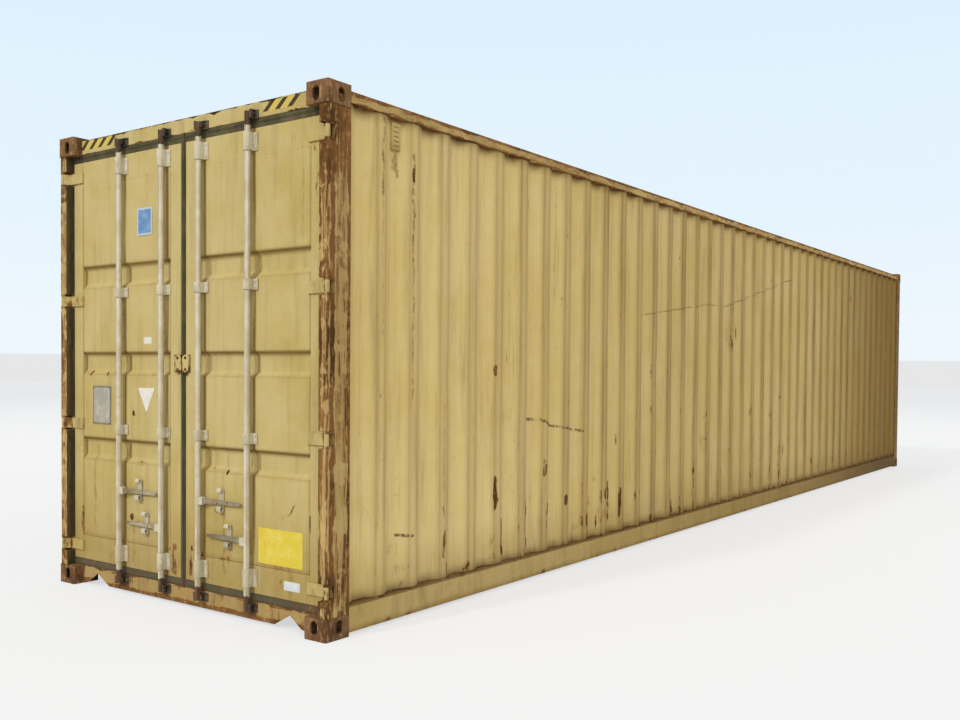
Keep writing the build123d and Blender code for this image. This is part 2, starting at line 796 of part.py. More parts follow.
for k, y in enumerate(bar_places):
    turn = bar_turns[k]
    z = handle_levels[k]
    cheek_y = y - turn * cheek_reach
    slot = handle_thickness / 2 + cheek_gap
    with BuildPart() as bar:
        add(tube(bar_x, y, bar_low, bar_high, bar_radius))
        add(cam(y, turn, cam_low))
        add(cam(y, turn, cam_high))
        for face in (-1, 1):
            add(block(bar_x + face * slot, bar_x + face * (slot + cheek_thickness), y, cheek_y,
                      z - hub_height / 2, z + hub_height / 2))
        with BuildSketch(Plane(origin=(bar_x - slot - cheek_thickness, y - turn * handle_pivot, z),
                               x_dir=(0, 1, 0), z_dir=(1, 0, 0))):
            Circle(pivot_radius)
        extrude(amount=2 * (slot + cheek_thickness))
    save(f"locking_bar_{k + 1}", bar.part)

    with BuildPart() as handle:
        add(lever(y, turn, z))
    save(f"lock_handle_{k + 1}", handle.part)
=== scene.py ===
import math
from types import SimpleNamespace as Named

import bmesh
import bpy
import numpy as np
from mathutils import Matrix, Vector


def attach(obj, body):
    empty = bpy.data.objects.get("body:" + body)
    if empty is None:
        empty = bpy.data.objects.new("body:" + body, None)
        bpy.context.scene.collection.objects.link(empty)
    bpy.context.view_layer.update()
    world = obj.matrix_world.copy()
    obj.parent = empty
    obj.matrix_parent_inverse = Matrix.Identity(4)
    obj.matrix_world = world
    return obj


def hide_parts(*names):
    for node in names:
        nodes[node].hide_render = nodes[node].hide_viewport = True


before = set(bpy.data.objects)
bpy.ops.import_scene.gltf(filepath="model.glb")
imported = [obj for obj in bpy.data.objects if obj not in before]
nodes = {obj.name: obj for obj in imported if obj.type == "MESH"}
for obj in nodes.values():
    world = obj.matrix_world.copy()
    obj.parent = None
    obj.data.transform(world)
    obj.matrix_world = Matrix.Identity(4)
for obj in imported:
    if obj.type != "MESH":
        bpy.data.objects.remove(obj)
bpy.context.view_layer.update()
print("stage 1: frame loaded")

# Sizes that several pieces share, in metres. The door end is at -X and the ground at Z 0.
box = Named(halfLength=6.096, halfWidth=1.219, castingEnd=5.918, castingIn=1.057, leafPlane=-6.038,
    leafLow=0.166, leafHigh=2.734, doorMiddle=0.014, leafMiddle=0.025, leafHinge=1.137, stile=0.095,
    doorRail=0.155, barX=-6.068, guideLevels=[1.02628, 1.87886], bearingLevels=[0.252, 2.66])
sideName = {1: "left", -1: "right"}
# Locking bars: place across, turning sense and the handle's height
bars = [(0.607, 1, 0.65), (0.186, -1, 0.452), (-0.158, 1, 0.65), (-0.579, -1, 0.452)]
leafBars = {1: bars[:2], -1: bars[2:]}

# Colours, linear
tint = Named(fresh=(0.465, 0.35, 0.12), faded=(0.54, 0.435, 0.19), sideFresh=(0.68, 0.508, 0.196),
    sideFaded=(0.735, 0.572, 0.256), soot=(0.2, 0.145, 0.065), speck=(0.17, 0.105, 0.045),
    # the dark brown on the next line serves for dirt and for painted shade alike
    grime=(0.18, 0.1, 0.022), rustHalo=(0.38, 0.215, 0.08), stain=(0.235, 0.125, 0.05),
    ink=(0.022, 0.02, 0.017), scratch=(0.11, 0.06, 0.026), cream=(0.6, 0.555, 0.415),
    creamWorn=(0.5, 0.435, 0.285))
rustTones = {"brown": ((0.085, 0.04, 0.014), (0.205, 0.096, 0.034), (0.38, 0.205, 0.07)),
    "dark": ((0.042, 0.024, 0.012), (0.12, 0.056, 0.024), (0.25, 0.125, 0.05)),
    "casting": ((0.11, 0.055, 0.025), (0.23, 0.122, 0.055), (0.4, 0.25, 0.12)),
    "orange": ((0.14, 0.064, 0.022), (0.28, 0.138, 0.048), (0.43, 0.24, 0.085))}


# The node tree that is being built, and its coordinates
bench = Named()


# A number, colour or direction inside a material: sums, differences and products of numbers make Math nodes
class Value:
    def __init__(self, socket):
        self.socket = socket

    def __add__(self, other):
        return calc("ADD", self, other)

    def __mul__(self, other):
        return calc("MULTIPLY", self, other)

    def __sub__(self, other):
        return calc("SUBTRACT", self, other)

    def __rsub__(self, other):
        return calc("SUBTRACT", other, self)

    def __abs__(self):
        return calc("ABSOLUTE", self)


def addNode(kind, values=None, **settings):
    item = bench.tree.nodes.new("ShaderNode" + kind)
    for key, value in settings.items():
        setattr(item, key, value)
    for key, value in (values or {}).items():
        if isinstance(value, Value):
            bench.tree.links.new(value.socket, item.inputs[key])
        else:
            item.inputs[key].default_value = (*value, 1) if item.inputs[key].type == "RGBA" else value
    return item


def out(item, key=0):
    return Value(item.outputs[key])


def split(value, kind="XYZ"):
    return [Value(socket) for socket in addNode("Separate" + kind, {0: value}).outputs]


def calc(operation, *terms, clamp=False):
    return out(addNode("Math", dict(enumerate(terms)), operation=operation, use_clamp=clamp))


# result is 0 for a direction, "Value" for a number
def vectorMath(operation, first, second=None, result=0):
    values = {0: first}
    if second is not None:
        values["Scale" if operation == "SCALE" else 1] = second
    return out(addNode("VectorMath", values, operation=operation), result)


def mix(factor, first, second):
    return out(addNode("Mix", {0: factor, 6: first, 7: second}, data_type="RGBA"), 2)


# rises smoothly from 0 at low to 1 at high, or falls where low is above high
def fade(value, low, high):
    return out(addNode("MapRange", {"Value": value, "From Min": low, "From Max": high},
        interpolation_type="SMOOTHSTEP"), "Result")


def grain(scale, detail=4.0, rough=0.55, stretch=(1, 1, 1), shift=(0, 0, 0), warp=0.0):
    place = out(addNode("Mapping", {"Vector": bench.coords, "Scale": stretch, "Location": shift}))
    return out(addNode("TexNoise", {"Vector": place, "Scale": scale, "Detail": detail, "Roughness": rough,
        "Distortion": warp}))


def attribute(name):
    return out(addNode("Attribute", attribute_name=name), "Fac")


# Gives the new material, its shader and its coordinates x, y and z
def startMaterial(name):
    material = bpy.data.materials.new(name)
    material.use_nodes = True
    bench.tree = material.node_tree
    bench.tree.nodes.clear()
    surface = addNode("BsdfPrincipled")
    addNode("OutputMaterial", {0: out(surface)})
    bench.coords = out(addNode("TexCoord"), "Object")
    return material, surface, split(bench.coords)


def finishSurface(surface, colour, rough, height, distance, strength=0.6, specular=0.5):
    bump = addNode("Bump", {"Height": height, "Distance": distance, "Strength": strength})
    for key, value in (("Base Color", colour), ("Roughness", rough), ("Normal", out(bump))):
        bench.tree.links.new(value.socket, surface.inputs[key])
    surface.inputs["Specular IOR Level"].default_value = specular


# Rust: dark scale and red-brown in patches, with brighter bloom in small grains
def rustColour(tone="brown"):
    dark, red, bloom = rustTones[tone]
    broad = grain(5.0, 5.0, 0.6, (1, 1, 0.5), (3.1, 0.7, 1.9))
    small = grain(42.0, 6.0, 0.7, (1, 1, 0.45), (0.4, 2.2, 0.8))
    return mix(fade(small, 0.5, 0.7), mix(fade(broad, 0.36, 0.6), dark, red), bloom)


# How near a point is to the line from start to end: 1 on it, 0 at the given width away
def nearLine(place, start, end, width):
    way = Vector(end) - Vector(start)
    rel = vectorMath("SUBTRACT", place, start)
    if way.length > 1e-6:
        share = vectorMath("DOT_PRODUCT", rel, way / way.length_squared, "Value")
        share = calc("MULTIPLY", share, 1.0, clamp=True)
        rel = vectorMath("SUBTRACT", rel, vectorMath("SCALE", tuple(way), share))
    return fade(vectorMath("LENGTH", rel, result="Value"), width, width * 0.25)


def unionOf(masks):
    total = masks[0]
    for mask in masks[1:]:
        total = calc("MAXIMUM", total, mask)
    return total


# Slanted dark marks: where the place across, plus a share of the height, falls in a dash of each span
def stripeMask(y, z, marks):
    lean = y + z * marks.lean
    dashes, fields = [], []
    for start, count in marks.spans:
        after = lean - start
        dash = calc("LESS_THAN", calc("MODULO", after, marks.pitch), marks.width)
        reach = (count - 1) * marks.pitch + marks.width
        fields.append(calc("GREATER_THAN", after, 0.0) * calc("LESS_THAN", after, reach))
        dashes.append(dash * fields[-1])
    tall = (fade(z, marks.low, marks.low + marks.soft) * fade(z, marks.high, marks.high - marks.soft))
    return unionOf(dashes) * tall, unionOf(fields) * tall


# Small rust spots that run down: cells of noise stretched in Z. Only some are marked, more at the foot.
dripShape = Named(stretch=(1, 1, 0.13), edge=(0.05, -0.12), foot=(1.25, 0.3), footShare=0.34)


def dripMask(z, scale, share, size):
    place = out(addNode("Mapping", {"Vector": bench.coords, "Scale": dripShape.stretch}))
    cell = addNode("TexVoronoi", {"Vector": place, "Scale": scale, "Randomness": 1.0})
    chance, big = split(out(cell, "Color"), "Color")[:2]
    mark = fade(out(cell, "Distance") - big * size, *dripShape.edge)
    share = fade(z, *dripShape.foot) * dripShape.footShare + share
    return mark * calc("LESS_THAN", chance, share)


# Paint over steel, faded in patches, streaked by rain and rusted through where the noise and what is
# added to it pass a level. rust and dirt run from 0 to 1. bands (axis, middle, half width, amount) and
# rustTo (axis, start, full, amount) add rust, shades (axis, start, full, amount) darken towards full, covers
# (axis, start, full, amount, colour) lie over all, and each bar shadow (middle, half width, amount) is a
# painted shadow behind a bar, a dark stripe that moves sideways with depth as a cast shadow does.
# rustLines, stains and scratches are (start, end, width, amount), drips (scale, share, size, amount).
def paintMaterial(name, fresh=tint.fresh, faded=tint.faded, shift=(0, 0, 0), streak=(6, 6, 0.35), dirt=0.4,
        plane="side", shades=(), paintedBarShadows=(), useGrimeAndShade=False, spotScale=7.0, spotStretch=(1.5, 1.5, 0.8),
        rust=0.2, rustTo=(), bands=(), useStain=False, rustLines=(), drips=(), soft=0.0, stains=(),
        stripes=None, rustTone="brown", covers=(), scratches=()):
    material, surface, axes = startMaterial(name)
    x, y, z = axes
    broad = grain(0.9, 5.0, 0.6, shift=shift)
    patches = grain(4.5, 6.0, 0.65, shift=(1.3, 0.2, 0.6))
    colour = mix(fade(broad * 0.6 + patches * 0.4, 0.38, 0.62), fresh, faded)
    streaks = grain(3.0, 7.0, 0.7, streak)
    speck = grain(26.0, 5.0, 0.75, shift=(2.0, 5.0, 1.0))
    colour = mix(fade(streaks, 0.47, 0.76) * dirt, colour, tint.soot)
    colour = mix(fade(speck, 0.58, 0.8) * dirt, colour, tint.speck)
    # edges of marks wander by up to a few centimetres
    wander = out(addNode("TexNoise", {"Vector": bench.coords, "Scale": 9.0, "Detail": 4.0}), 1)
    wander = vectorMath("SCALE", vectorMath("SUBTRACT", wander, (0.5, 0.5, 0.5)), 0.05)
    flat = {0: x, 2: z} if plane == "side" else {1: y, 2: z}
    place = out(addNode("CombineXYZ", flat))
    ragged = vectorMath("ADD", place, wander)
    loose = split(vectorMath("ADD", bench.coords, wander))
    for axis, begin, full, amount in shades:
        colour = mix(fade(loose[axis], begin, full) * amount, colour, tint.grime)
    # painted shadow behind each bar: a dark stripe that moves sideways with depth as a cast shadow does
    for middle, half, amount in paintedBarShadows:
        away = abs(y + (x - box.leafPlane) * 0.5 - middle)
        veil = fade(away, half, half * 0.35) * amount
        colour = mix(veil * fade(streaks, 0.3, 0.55), colour, tint.grime)
    # the per-point attribute read here is dirt mixed with painted shade: darker crest flats, band edges,
    # panel corners and a strip under the top rail
    if useGrimeAndShade:
        grime = calc("MULTIPLY", attribute("grime"), patches * 0.8 + 0.55, clamp=True)
        colour = mix(grime, colour, tint.grime)
    spots = grain(spotScale, 9.0, 0.72, spotStretch, (0.0, 1.0, 4.0), 0.3)
    gather = rust
    for axis, begin, full, amount in rustTo:
        gather = fade(axes[axis], begin, full) * amount + gather
    for axis, middle, half, amount in bands:
        gather = fade(abs(loose[axis] - middle), half, half * 0.4) * amount + gather
    if useStain:
        gather = attribute("stain") + gather
    for start, end, width, amount in rustLines:
        gather = nearLine(ragged, start, end, width) * amount + gather
    if drips:
        gather = dripMask(z, *drips[:3]) * drips[3] + gather
    level = spots + gather * 0.34
    halo = fade(level, 0.69 - soft, 0.82)
    core = fade(level, 0.77 - soft, 0.83 + soft)
    colour = mix(halo * 0.6, colour, tint.rustHalo)
    for start, end, width, amount in stains:
        veil = nearLine(ragged, start, end, width) * amount
        colour = mix(veil * fade(speck, 0.36, 0.6), colour, tint.stain)
    if stripes:
        dashes, field = stripeMask(y, z, stripes)
        colour = mix(field * 0.75, colour, stripes.ground)
        colour = mix(dashes * 0.93, colour, tint.ink)
    colour = mix(core, colour, rustColour(rustTone))
    for axis, begin, full, amount, cover in covers:
        colour = mix(fade(axes[axis], begin, full) * amount, colour, cover)
    if scratches:
        marks = [nearLine(place, start, end, width) * amount for start, end, width, amount in scratches]
        broken = fade(grain(18.0, 4.0, 0.7, shift=(4.0, 1.0, 0.0)), 0.4, 0.55)
        colour = mix(unionOf(marks) * broken, colour, tint.scratch)
    fine = grain(130.0, 3.0, 0.6)
    rough = calc("ADD", core * 0.3 + fine * 0.12, 0.6, clamp=True)
    finishSurface(surface, colour, rough, core * speck + fine * 0.1, 0.0016, specular=0.04)
    return material


# A grid's quads, as point numbers: rows by columns. A wrapped side joins its last line to its first.
def gridFaces(rows, columns, wrapRows=False, wrapColumns=False, flip=False):
    a = np.arange(rows if wrapRows else rows - 1)[:, None]
    b = np.arange(columns if wrapColumns else columns - 1)[None, :]
    nextA, nextB = (a + 1) % rows, (b + 1) % columns
    quads = np.stack([a * columns + b, a * columns + nextB, nextA * columns + nextB, nextA * columns + b], -1)
    quads = quads.reshape(-1, 4)
    return quads[:, ::-1] if flip else quads


# A part is its points, its quads and a list of larger faces. Parts become one mesh that rides on a body.
def makePiece(name, parts, body, slotName, material, stands=(), angle=35, closed=True, **fields):
    count, points, faces = 0, [], []
    for partPoints, quads, caps in parts:
        partPoints = np.asarray(partPoints, float).reshape(-1, 3)
        points.append(partPoints)
        faces += (np.asarray(quads) + count).tolist()
        faces += [(np.asarray(cap) + count).tolist() for cap in caps]
        count += len(partPoints)
    mesh = bpy.data.meshes.new(name)
    mesh.from_pydata(np.concatenate(points).tolist(), [], faces)
    if closed:
        shell = bmesh.new()
        shell.from_mesh(mesh)
        bmesh.ops.recalc_face_normals(shell, faces=shell.faces[:])
        shell.to_mesh(mesh)
        shell.free()
    for field, values in fields.items():
        attribute = mesh.attributes.new(field, "FLOAT", "POINT")
        attribute.data.foreach_set("value", np.asarray(values, np.float32).ravel())
    mesh.materials.append(material)
    mesh.shade_smooth()
    mesh.set_sharp_from_angle(angle=math.radians(angle))
    piece = bpy.data.objects.new(name, mesh)
    bpy.context.scene.collection.objects.link(piece)
    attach(piece, body)
    if stands:
        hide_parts(*stands)
    return piece


# A thin sheet over a grid of points, its thickness to the inside
def makeSheet(name, grid, quads, thickness, body, material, node, **fields):
    piece = makePiece(name, [(np.stack(grid, -1), quads, [])], body, "ochre_paint", material, [node],
        closed=False, **fields)
    wall = piece.modifiers.new("thickness", "SOLIDIFY")
    wall.thickness = thickness
    wall.offset = -1
    wall.use_even_offset = False


# point(i, j) = path(i) + a(j) wide(i) side(i) + b(j) tall(i) normal, where side is the path's direction
# turned a quarter round the normal, and longer at a corner so that the walls stay parallel
def sweep(path, section, normal, ring=False, wide=1.0, tall=1.0):
    path = np.asarray(path, float)
    section = np.asarray(section, float)
    normal = np.asarray(normal, float) / np.linalg.norm(normal)
    ahead = np.roll(path, -1, 0) - path
    if not ring:
        ahead[-1] = ahead[-2]
    ahead /= np.linalg.norm(ahead, axis=1)[:, None]
    behind = np.roll(ahead, 1, 0)
    if not ring:
        behind[0] = ahead[0]
    middle = ahead + behind
    middle /= np.linalg.norm(middle, axis=1)[:, None]
    side = np.cross(middle, normal) / np.maximum((middle * ahead).sum(1), 0.5)[:, None]
    wide = np.broadcast_to(wide, len(path))[:, None, None]
    tall = np.broadcast_to(tall, len(path))[:, None, None]
    points = (path[:, None] + section[None, :, :1] * wide * side[:, None]
        + section[None, :, 1:] * tall * normal)
    quads = gridFaces(len(path), len(section), ring, True)
    last = len(path) * len(section)
    caps = [] if ring else [np.arange(len(section)), np.arange(last - len(section), last)]
    return points, quads, caps


# A rectangle with rounded corners, as offsets: each corner's arc of three or more points
def roundedBox(width, height, corner, steps=3):
    turn = np.linspace(0, math.pi / 2, steps)
    arcs = []
    for k, (sx, sy) in enumerate([(1, 1), (-1, 1), (-1, -1), (1, -1)]):
        angle = turn + k * math.pi / 2
        centre = np.array([sx * (width / 2 - corner), sy * (height / 2 - corner)])
        arcs.append(centre + corner * np.stack([np.cos(angle), np.sin(angle)], 1))
    return np.concatenate(arcs)


def disc(radius, count=8):
    angle = np.arange(count) * 2 * math.pi / count
    return np.stack([radius * np.cos(angle), radius * np.sin(angle)], 1)


# Low domes with their axis one way, one at each centre
def domes(centres, axis, radius, height, count=10):
    axis = np.asarray(axis, float)
    across = np.cross(axis, (0.3, 0.5, 0.8))
    across /= np.linalg.norm(across)
    other = np.cross(axis, across)
    profile = np.array([(1.0, -0.2), (1.0, 0.55), (0.82, 0.9), (0.45, 1.0)]) * [radius, height]
    angle = np.arange(count) * 2 * math.pi / count
    ring = np.cos(angle)[:, None] * across + np.sin(angle)[:, None] * other
    template = profile[:, None, :1] * ring[None] + profile[:, None, 1:] * axis
    last = len(profile) * count
    return [(template + np.asarray(c, float), gridFaces(len(profile), count, False, True),
        [np.arange(count), np.arange(last - count, last)]) for c in centres]


# A plate on a face: the outline at the back, at the front less an edge, and the front closed
def plate(outline, plane, out, thickness, edge=0.0008):
    outline = np.asarray(outline, float)
    middle = outline.mean(0)
    reach = np.linalg.norm(outline - middle, axis=1)[:, None]
    inner = middle + (outline - middle) * (1 - edge / reach)
    rings = [np.column_stack([np.full(len(flat), plane + out * up), flat])
        for flat, up in ((outline, -0.0005), (outline, thickness - edge * 0.6), (inner, thickness))]
    last = 3 * len(outline)
    caps = [np.arange(len(outline)), np.arange(last - len(outline), last)]
    return np.array(rings), gridFaces(3, len(outline), False, True), caps


# Sum of bell-shaped hollows: depth times exp(-((a - a0) / ra)^2 - ((b - b0) / rb)^2)
def hollows(a, b, dents):
    a0, b0, ra, rb, depth = np.asarray(dents, float).T[:, :, None, None]
    return (depth * np.exp(-((a - a0) / ra) ** 2 - ((b - b0) / rb) ** 2)).sum(0)


# Kinks of a folded sheet from start to end, and its depth at each
def foldLine(start, end, fold):
    pitch = (end - start - 2 * fold.endFlat + fold.flat) / fold.waves
    slope = (pitch - 2 * fold.flat) / 2
    steps = np.array([0, slope, slope + fold.flat, 2 * slope + fold.flat])
    kinks = start + fold.endFlat + pitch * np.arange(fold.waves)[:, None] + steps
    depths = np.tile([0, fold.depth, fold.depth, 0], fold.waves)
    return np.concatenate([[start], kinks.ravel(), [end]]), np.concatenate([[0], depths, [0]])


# Depth of the folded sheet: the mean of the straight-sided wave over a short span, which rounds each kink
def foldDepth(along, kinks, depths, bend):
    spans = np.linspace(-bend, bend, 9)
    return np.mean([np.interp(along + span, kinks, depths) for span in spans], 0)


# Stations along a folded sheet: five round each kink, and others between them
def foldStations(kinks, bend, others):
    near = (kinks[:, None] + bend * np.array([-1.1, -0.5, 0, 0.5, 1.1])).ravel()
    return np.unique(np.clip(np.concatenate([near, others]), kinks[0], kinks[-1]).round(5))


# Side walls: x along the wall, z up, y at the crest less the wave's depth and the dents
sideWall = Named(flat=0.072, depth=0.036, waves=42, endFlat=0.004, face=0.014, sheet=0.002, low=0.163,
    high=2.809, bend=0.011, rows=36, dents=70, dentDepth=(0.001, 0.006))
sideRust = [(0.7, 2.55, 2.49, 0.022, 1.0), (1.545, 0.72, 0.54, 0.032, 0.7), (1.656, 0.25, 0.23, 0.035, 0.9),
    (1.936, 0.48, 0.45, 0.035, 0.9), (1.94, 0.27, 0.25, 0.035, 0.9), (2.151, 0.76, 0.71, 0.022, 0.7),
    (2.201, 0.48, 0.44, 0.034, 0.9), (1.534, 1.43, 1.39, 0.034, 0.8), (1.0, 0.6, 0.3, 0.024, 0.5),
    (3.1, 0.55, 0.25, 0.035, 0.6), (4.2, 0.5, 4.25, 0.22, 0.045, 0.6), (5.3, 0.48, 0.22, 0.045, 0.6),
    (6.2, 0.45, 0.22, 0.045, 0.6), (1.625, 0.44, 0.25, 0.03, 0.8), (1.908, 0.54, 1.91, 0.31, 0.028, 0.8),
    (2.13, 0.8, 0.7, 0.03, 0.8), (2.418, 0.51, 0.48, 0.035, 0.9), (2.74, 0.33, 0.29, 0.038, 0.9),
    (3.01, 0.5, 0.47, 0.038, 0.9), (3.24, 0.48, 0.29, 0.036, 0.8)]
sideStains = [(0.444, 2.8, 2.38, 0.017, 0.95), (0.561, 2.62, 0.575, 2.54, 0.034, 0.7),
    (0.59, 2.63, 0.6, 2.5, 0.02, 0.6), (0.701, 2.64, 0.702, 2.04, 0.018, 0.95),
    (0.702, 2.04, 1.25, 0.015, 0.6), (0.444, 2.38, 1.6, 0.008, 0.45), (1.604, 0.52, 0.25, 0.016, 0.6),
    (2.3, 2.7, 1.9, 0.014, 0.4), (1.0, 1.2, 0.55, 0.012, 0.4), (4.95, 2.55, 1.4, 0.016, 0.35),
    (6.4, 1.6, 0.5, 0.02, 0.4), (7.8, 1.9, 0.6, 0.02, 0.4)]
sideScratches = [(1.928, 1.087, 2.092, 1.074, 0.016, 0.9), (2.092, 1.074, 2.234, 1.031, 0.016, 0.9),
    (2.234, 1.031, 2.659, 0.974, 0.014, 0.8), (3.6, 1.866, 4.99, 2.035, 0.011, 0.5),
    (4.99, 2.035, 5.389, 2.035, 0.011, 0.45), (5.389, 2.035, 7.361, 2.459, 0.012, 0.5),
    (0.597, 0.478, 0.712, 0.463, 0.014, 0.9)]


# A mark is (across, height, across, height, width, amount), and without the second place across where it
# is upright. On a side wall, across counts from the door end.
def fullMarks(marks):
    return [mark if len(mark) == 6 else mark[:2] + mark[:1] + mark[2:] for mark in marks]


def onSide(marks):
    return [((start - box.halfLength, 0, low), (end - box.halfLength, 0, high), *rest)
        for start, low, end, high, *rest in fullMarks(marks)]


def onDoor(marks):
    return [((0, start, low), (0, end, high), *rest) for start, low, end, high, *rest in fullMarks(marks)]


sideLook = dict(fresh=tint.sideFresh, faded=tint.sideFaded, rust=0.2, dirt=0.36, useStain=True,
    useGrimeAndShade=True, rustTo=[(2, 0.75, 0.2, 0.14)], spotStretch=(1.6, 1.6, 0.8),
    drips=(12.0, 0.36, 0.15, 0.9), covers=[(2, 0.176, 0.168, 0.7, (0.13, 0.07, 0.026))],
    # the first two shades darken the wall towards its front end, the third towards its foot
    shades=[(0, -5.2, -0.9, 0.22), (0, 1.0, 5.9, 0.8), (2, 0.5, 0.16, 0.25)])
sidePaint = {-1: paintMaterial("sidePaintRight", **sideLook, rustLines=onSide(sideRust),
    stains=onSide(sideStains), scratches=onSide(sideScratches)),
    1: paintMaterial("sidePaintLeft", **sideLook, shift=(3.0, 1.0, 2.0))}
frontPaint = paintMaterial("frontPaint", rust=0.25, dirt=0.45, useStain=True, plane="end",
    rustTo=[(2, 0.7, 0.2, 0.3)], drips=(9.0, 0.16, 0.16, 0.6))


def makeSideWall(s, side, seed):
    kinks, depths = foldLine(-box.castingEnd, box.castingEnd, sideWall)
    along = foldStations(kinks, sideWall.bend, (kinks[1:] + kinks[:-1]) / 2)
    up = np.linspace(sideWall.low, sideWall.high, sideWall.rows)
    x, z = np.meshgrid(along, up)
    chance = np.random.default_rng(seed)
    count = sideWall.dents
    dents = np.column_stack([chance.uniform(-5.7, 5.7, count), chance.uniform(0.35, 2.6, count),
        chance.uniform(0.05, 0.22, count), chance.uniform(0.12, 0.4, count),
        chance.uniform(*sideWall.dentDepth, count) * chance.choice([1, 1, -0.7], count)])
    edge = np.sin(np.pi * (z - sideWall.low) / (sideWall.high - sideWall.low)).clip(0, 1) ** 0.4
    fold = foldDepth(x, kinks, depths, sideWall.bend)
    depth = fold + hollows(x, z, dents) * edge
    y = s * (box.halfWidth - sideWall.face - depth)
    # rust gathers where a dent is deep and along the foot of the wall, grime at the edges of the folds;
    # painted shade darkens the crest flats, which face away from the light, and a strip just under the top
    # rail
    stain = 0.24 * np.abs(hollows(x, z, dents)) / sideWall.dentDepth[1]
    stain += 0.22 * np.exp(-(z - sideWall.low) / 0.02) + 0.25 * np.exp(-(sideWall.high - z) / 0.03)
    crest = np.clip(1 - fold / sideWall.depth * 3.0, 0, 1)
    away = np.clip((x + 5.4) / 2.6, 0, 1)
    further = np.clip((x - 0.5) / 5.0, 0, 1)
    uneven = 1 + 0.35 * np.sin(x * 7.7 + z * 1.1) * np.sin(x * 2.9 + z * 2.3 + 1)
    toEdge = np.abs(x[..., None] - kinks[1:-1].reshape(-1, 4)[:, [0, 3]].ravel()).min(-1)
    # painted shade on the crest flats, stronger towards the front end, with grime along the fold edges
    grime = crest * (0.06 + 0.28 * away + 0.22 * further) * uneven + 0.3 * np.exp(-(toEdge / 0.012) ** 2)
    stain += 0.4 * np.exp(-(toEdge / 0.014) ** 2) * (1.1 - z / 2.8) * (0.4 + 0.6 * away)
    # painted shade in a strip just under the top rail
    grime += 0.4 * np.exp(-(sideWall.high - z) / 0.025)
    makeSheet("sideWall_" + side, [x, y, z], gridFaces(*x.shape, flip=s > 0), sideWall.sheet, "container",
        sidePaint[s], "side_wall_" + side, stain=stain, grime=grime)
    # a weld bead follows the folds along each rail
    beads = []
    for row, level, size in ((0, sideWall.low, 0.005), (-1, sideWall.high, 0.0035)):
        path = np.column_stack([along, y[row] + s * 0.001, np.full(len(along), level)])
        ripple = 1 + 0.18 * np.sin(along * 420)
        beads.append(sweep(path, disc(size, 6), (0, 0, 1), wide=ripple, tall=ripple))
    for end in (-1, 1):
        rise = np.linspace(sideWall.low, sideWall.high, 240)
        path = np.column_stack([np.full(240, end * (box.castingEnd - 0.002)),
            np.full(240, s * (box.halfWidth - sideWall.face)), rise])
        ripple = 1 + 0.16 * np.sin(rise * 400 + end)
        beads.append(sweep(path, disc(0.0036, 6), (0, 1, 0), wide=ripple, tall=ripple))
    makePiece("wallWelds_" + side, beads, "container", "rusted_steel", rustySteel, angle=60)


# Heavy rust with some paint left, for the rear posts, castings and top rails
postLook = dict(rust=0.42, dirt=0.9, streak=(16, 16, 0.3), spotStretch=(5.0, 5.0, 0.3), plane="end",
    bands=[(0, -6.054, 0.02, 0.75), (0, -5.928, 0.02, 0.7), (0, -6.088, 0.007, 0.5), (1, -1.16, 0.012, 0.6),
    (1, -1.213, 0.008, 0.4), (1, 1.213, 0.008, 0.3), (2, 0.1, 0.4, 0.15), (2, 2.75, 0.4, 0.4)],
    spotScale=8.0, fresh=(0.43, 0.285, 0.105), faded=(0.52, 0.375, 0.155), soft=0.035)
# painted shade: the rear posts' inner side faces, in the narrow channel beside the door leaves, covered near
# black
paintedChannelShade = (0.05, 0.044, 0.024)
rearPostPaint = {s: paintMaterial("rearPostPaint_" + sideName[s], **postLook,
    covers=[(1, s * 1.1515, s * 1.1495, 0.88, paintedChannelShade)]) for s in (1, -1)}
lugPaint = paintMaterial("lugPaint", **dict(postLook, rust=0.75))
castingPaint = paintMaterial("castingPaint", rust=1.3, dirt=0.7, spotStretch=(1.6, 1.6, 1.0), spotScale=9.0,
    rustTone="casting")
topRailPaint = paintMaterial("topRailPaint", rust=0.58, dirt=0.8, streak=(1.2, 3, 3),
    fresh=(0.44, 0.3, 0.11), faded=(0.55, 0.41, 0.16), spotStretch=(0.6, 2, 2), rustTone="orange",
    soft=0.05, bands=[(2, 2.868, 0.022, 0.9), (2, 2.809, 0.01, 0.7)])
# the bottom rail darkens towards the front end through its first shade and its last cover
bottomRailPaint = paintMaterial("bottomRailPaint", rust=0.3, dirt=0.65, streak=(3, 3, 0.6),
    fresh=(0.46, 0.33, 0.115), faded=(0.52, 0.385, 0.155), shades=[(0, -5.0, 3.5, 0.6),
    (2, 0.06, 0.02, 0.45)], covers=[(2, 0.15, 0.156, 0.75, (0.13, 0.07, 0.026)),
    (0, 1.5, 5.8, 0.8, (0.1, 0.062, 0.026))], rustTo=[(2, 0.146, 0.158, 0.25), (2, 0.06, 0.02, 0.4)])
rustySteel = paintMaterial("rustySteel", rust=1.25, dirt=0.7, spotScale=12.0)
print("stage 2: wall materials made")

makeSideWall(1, "left", 11)
makeSideWall(-1, "right", 23)

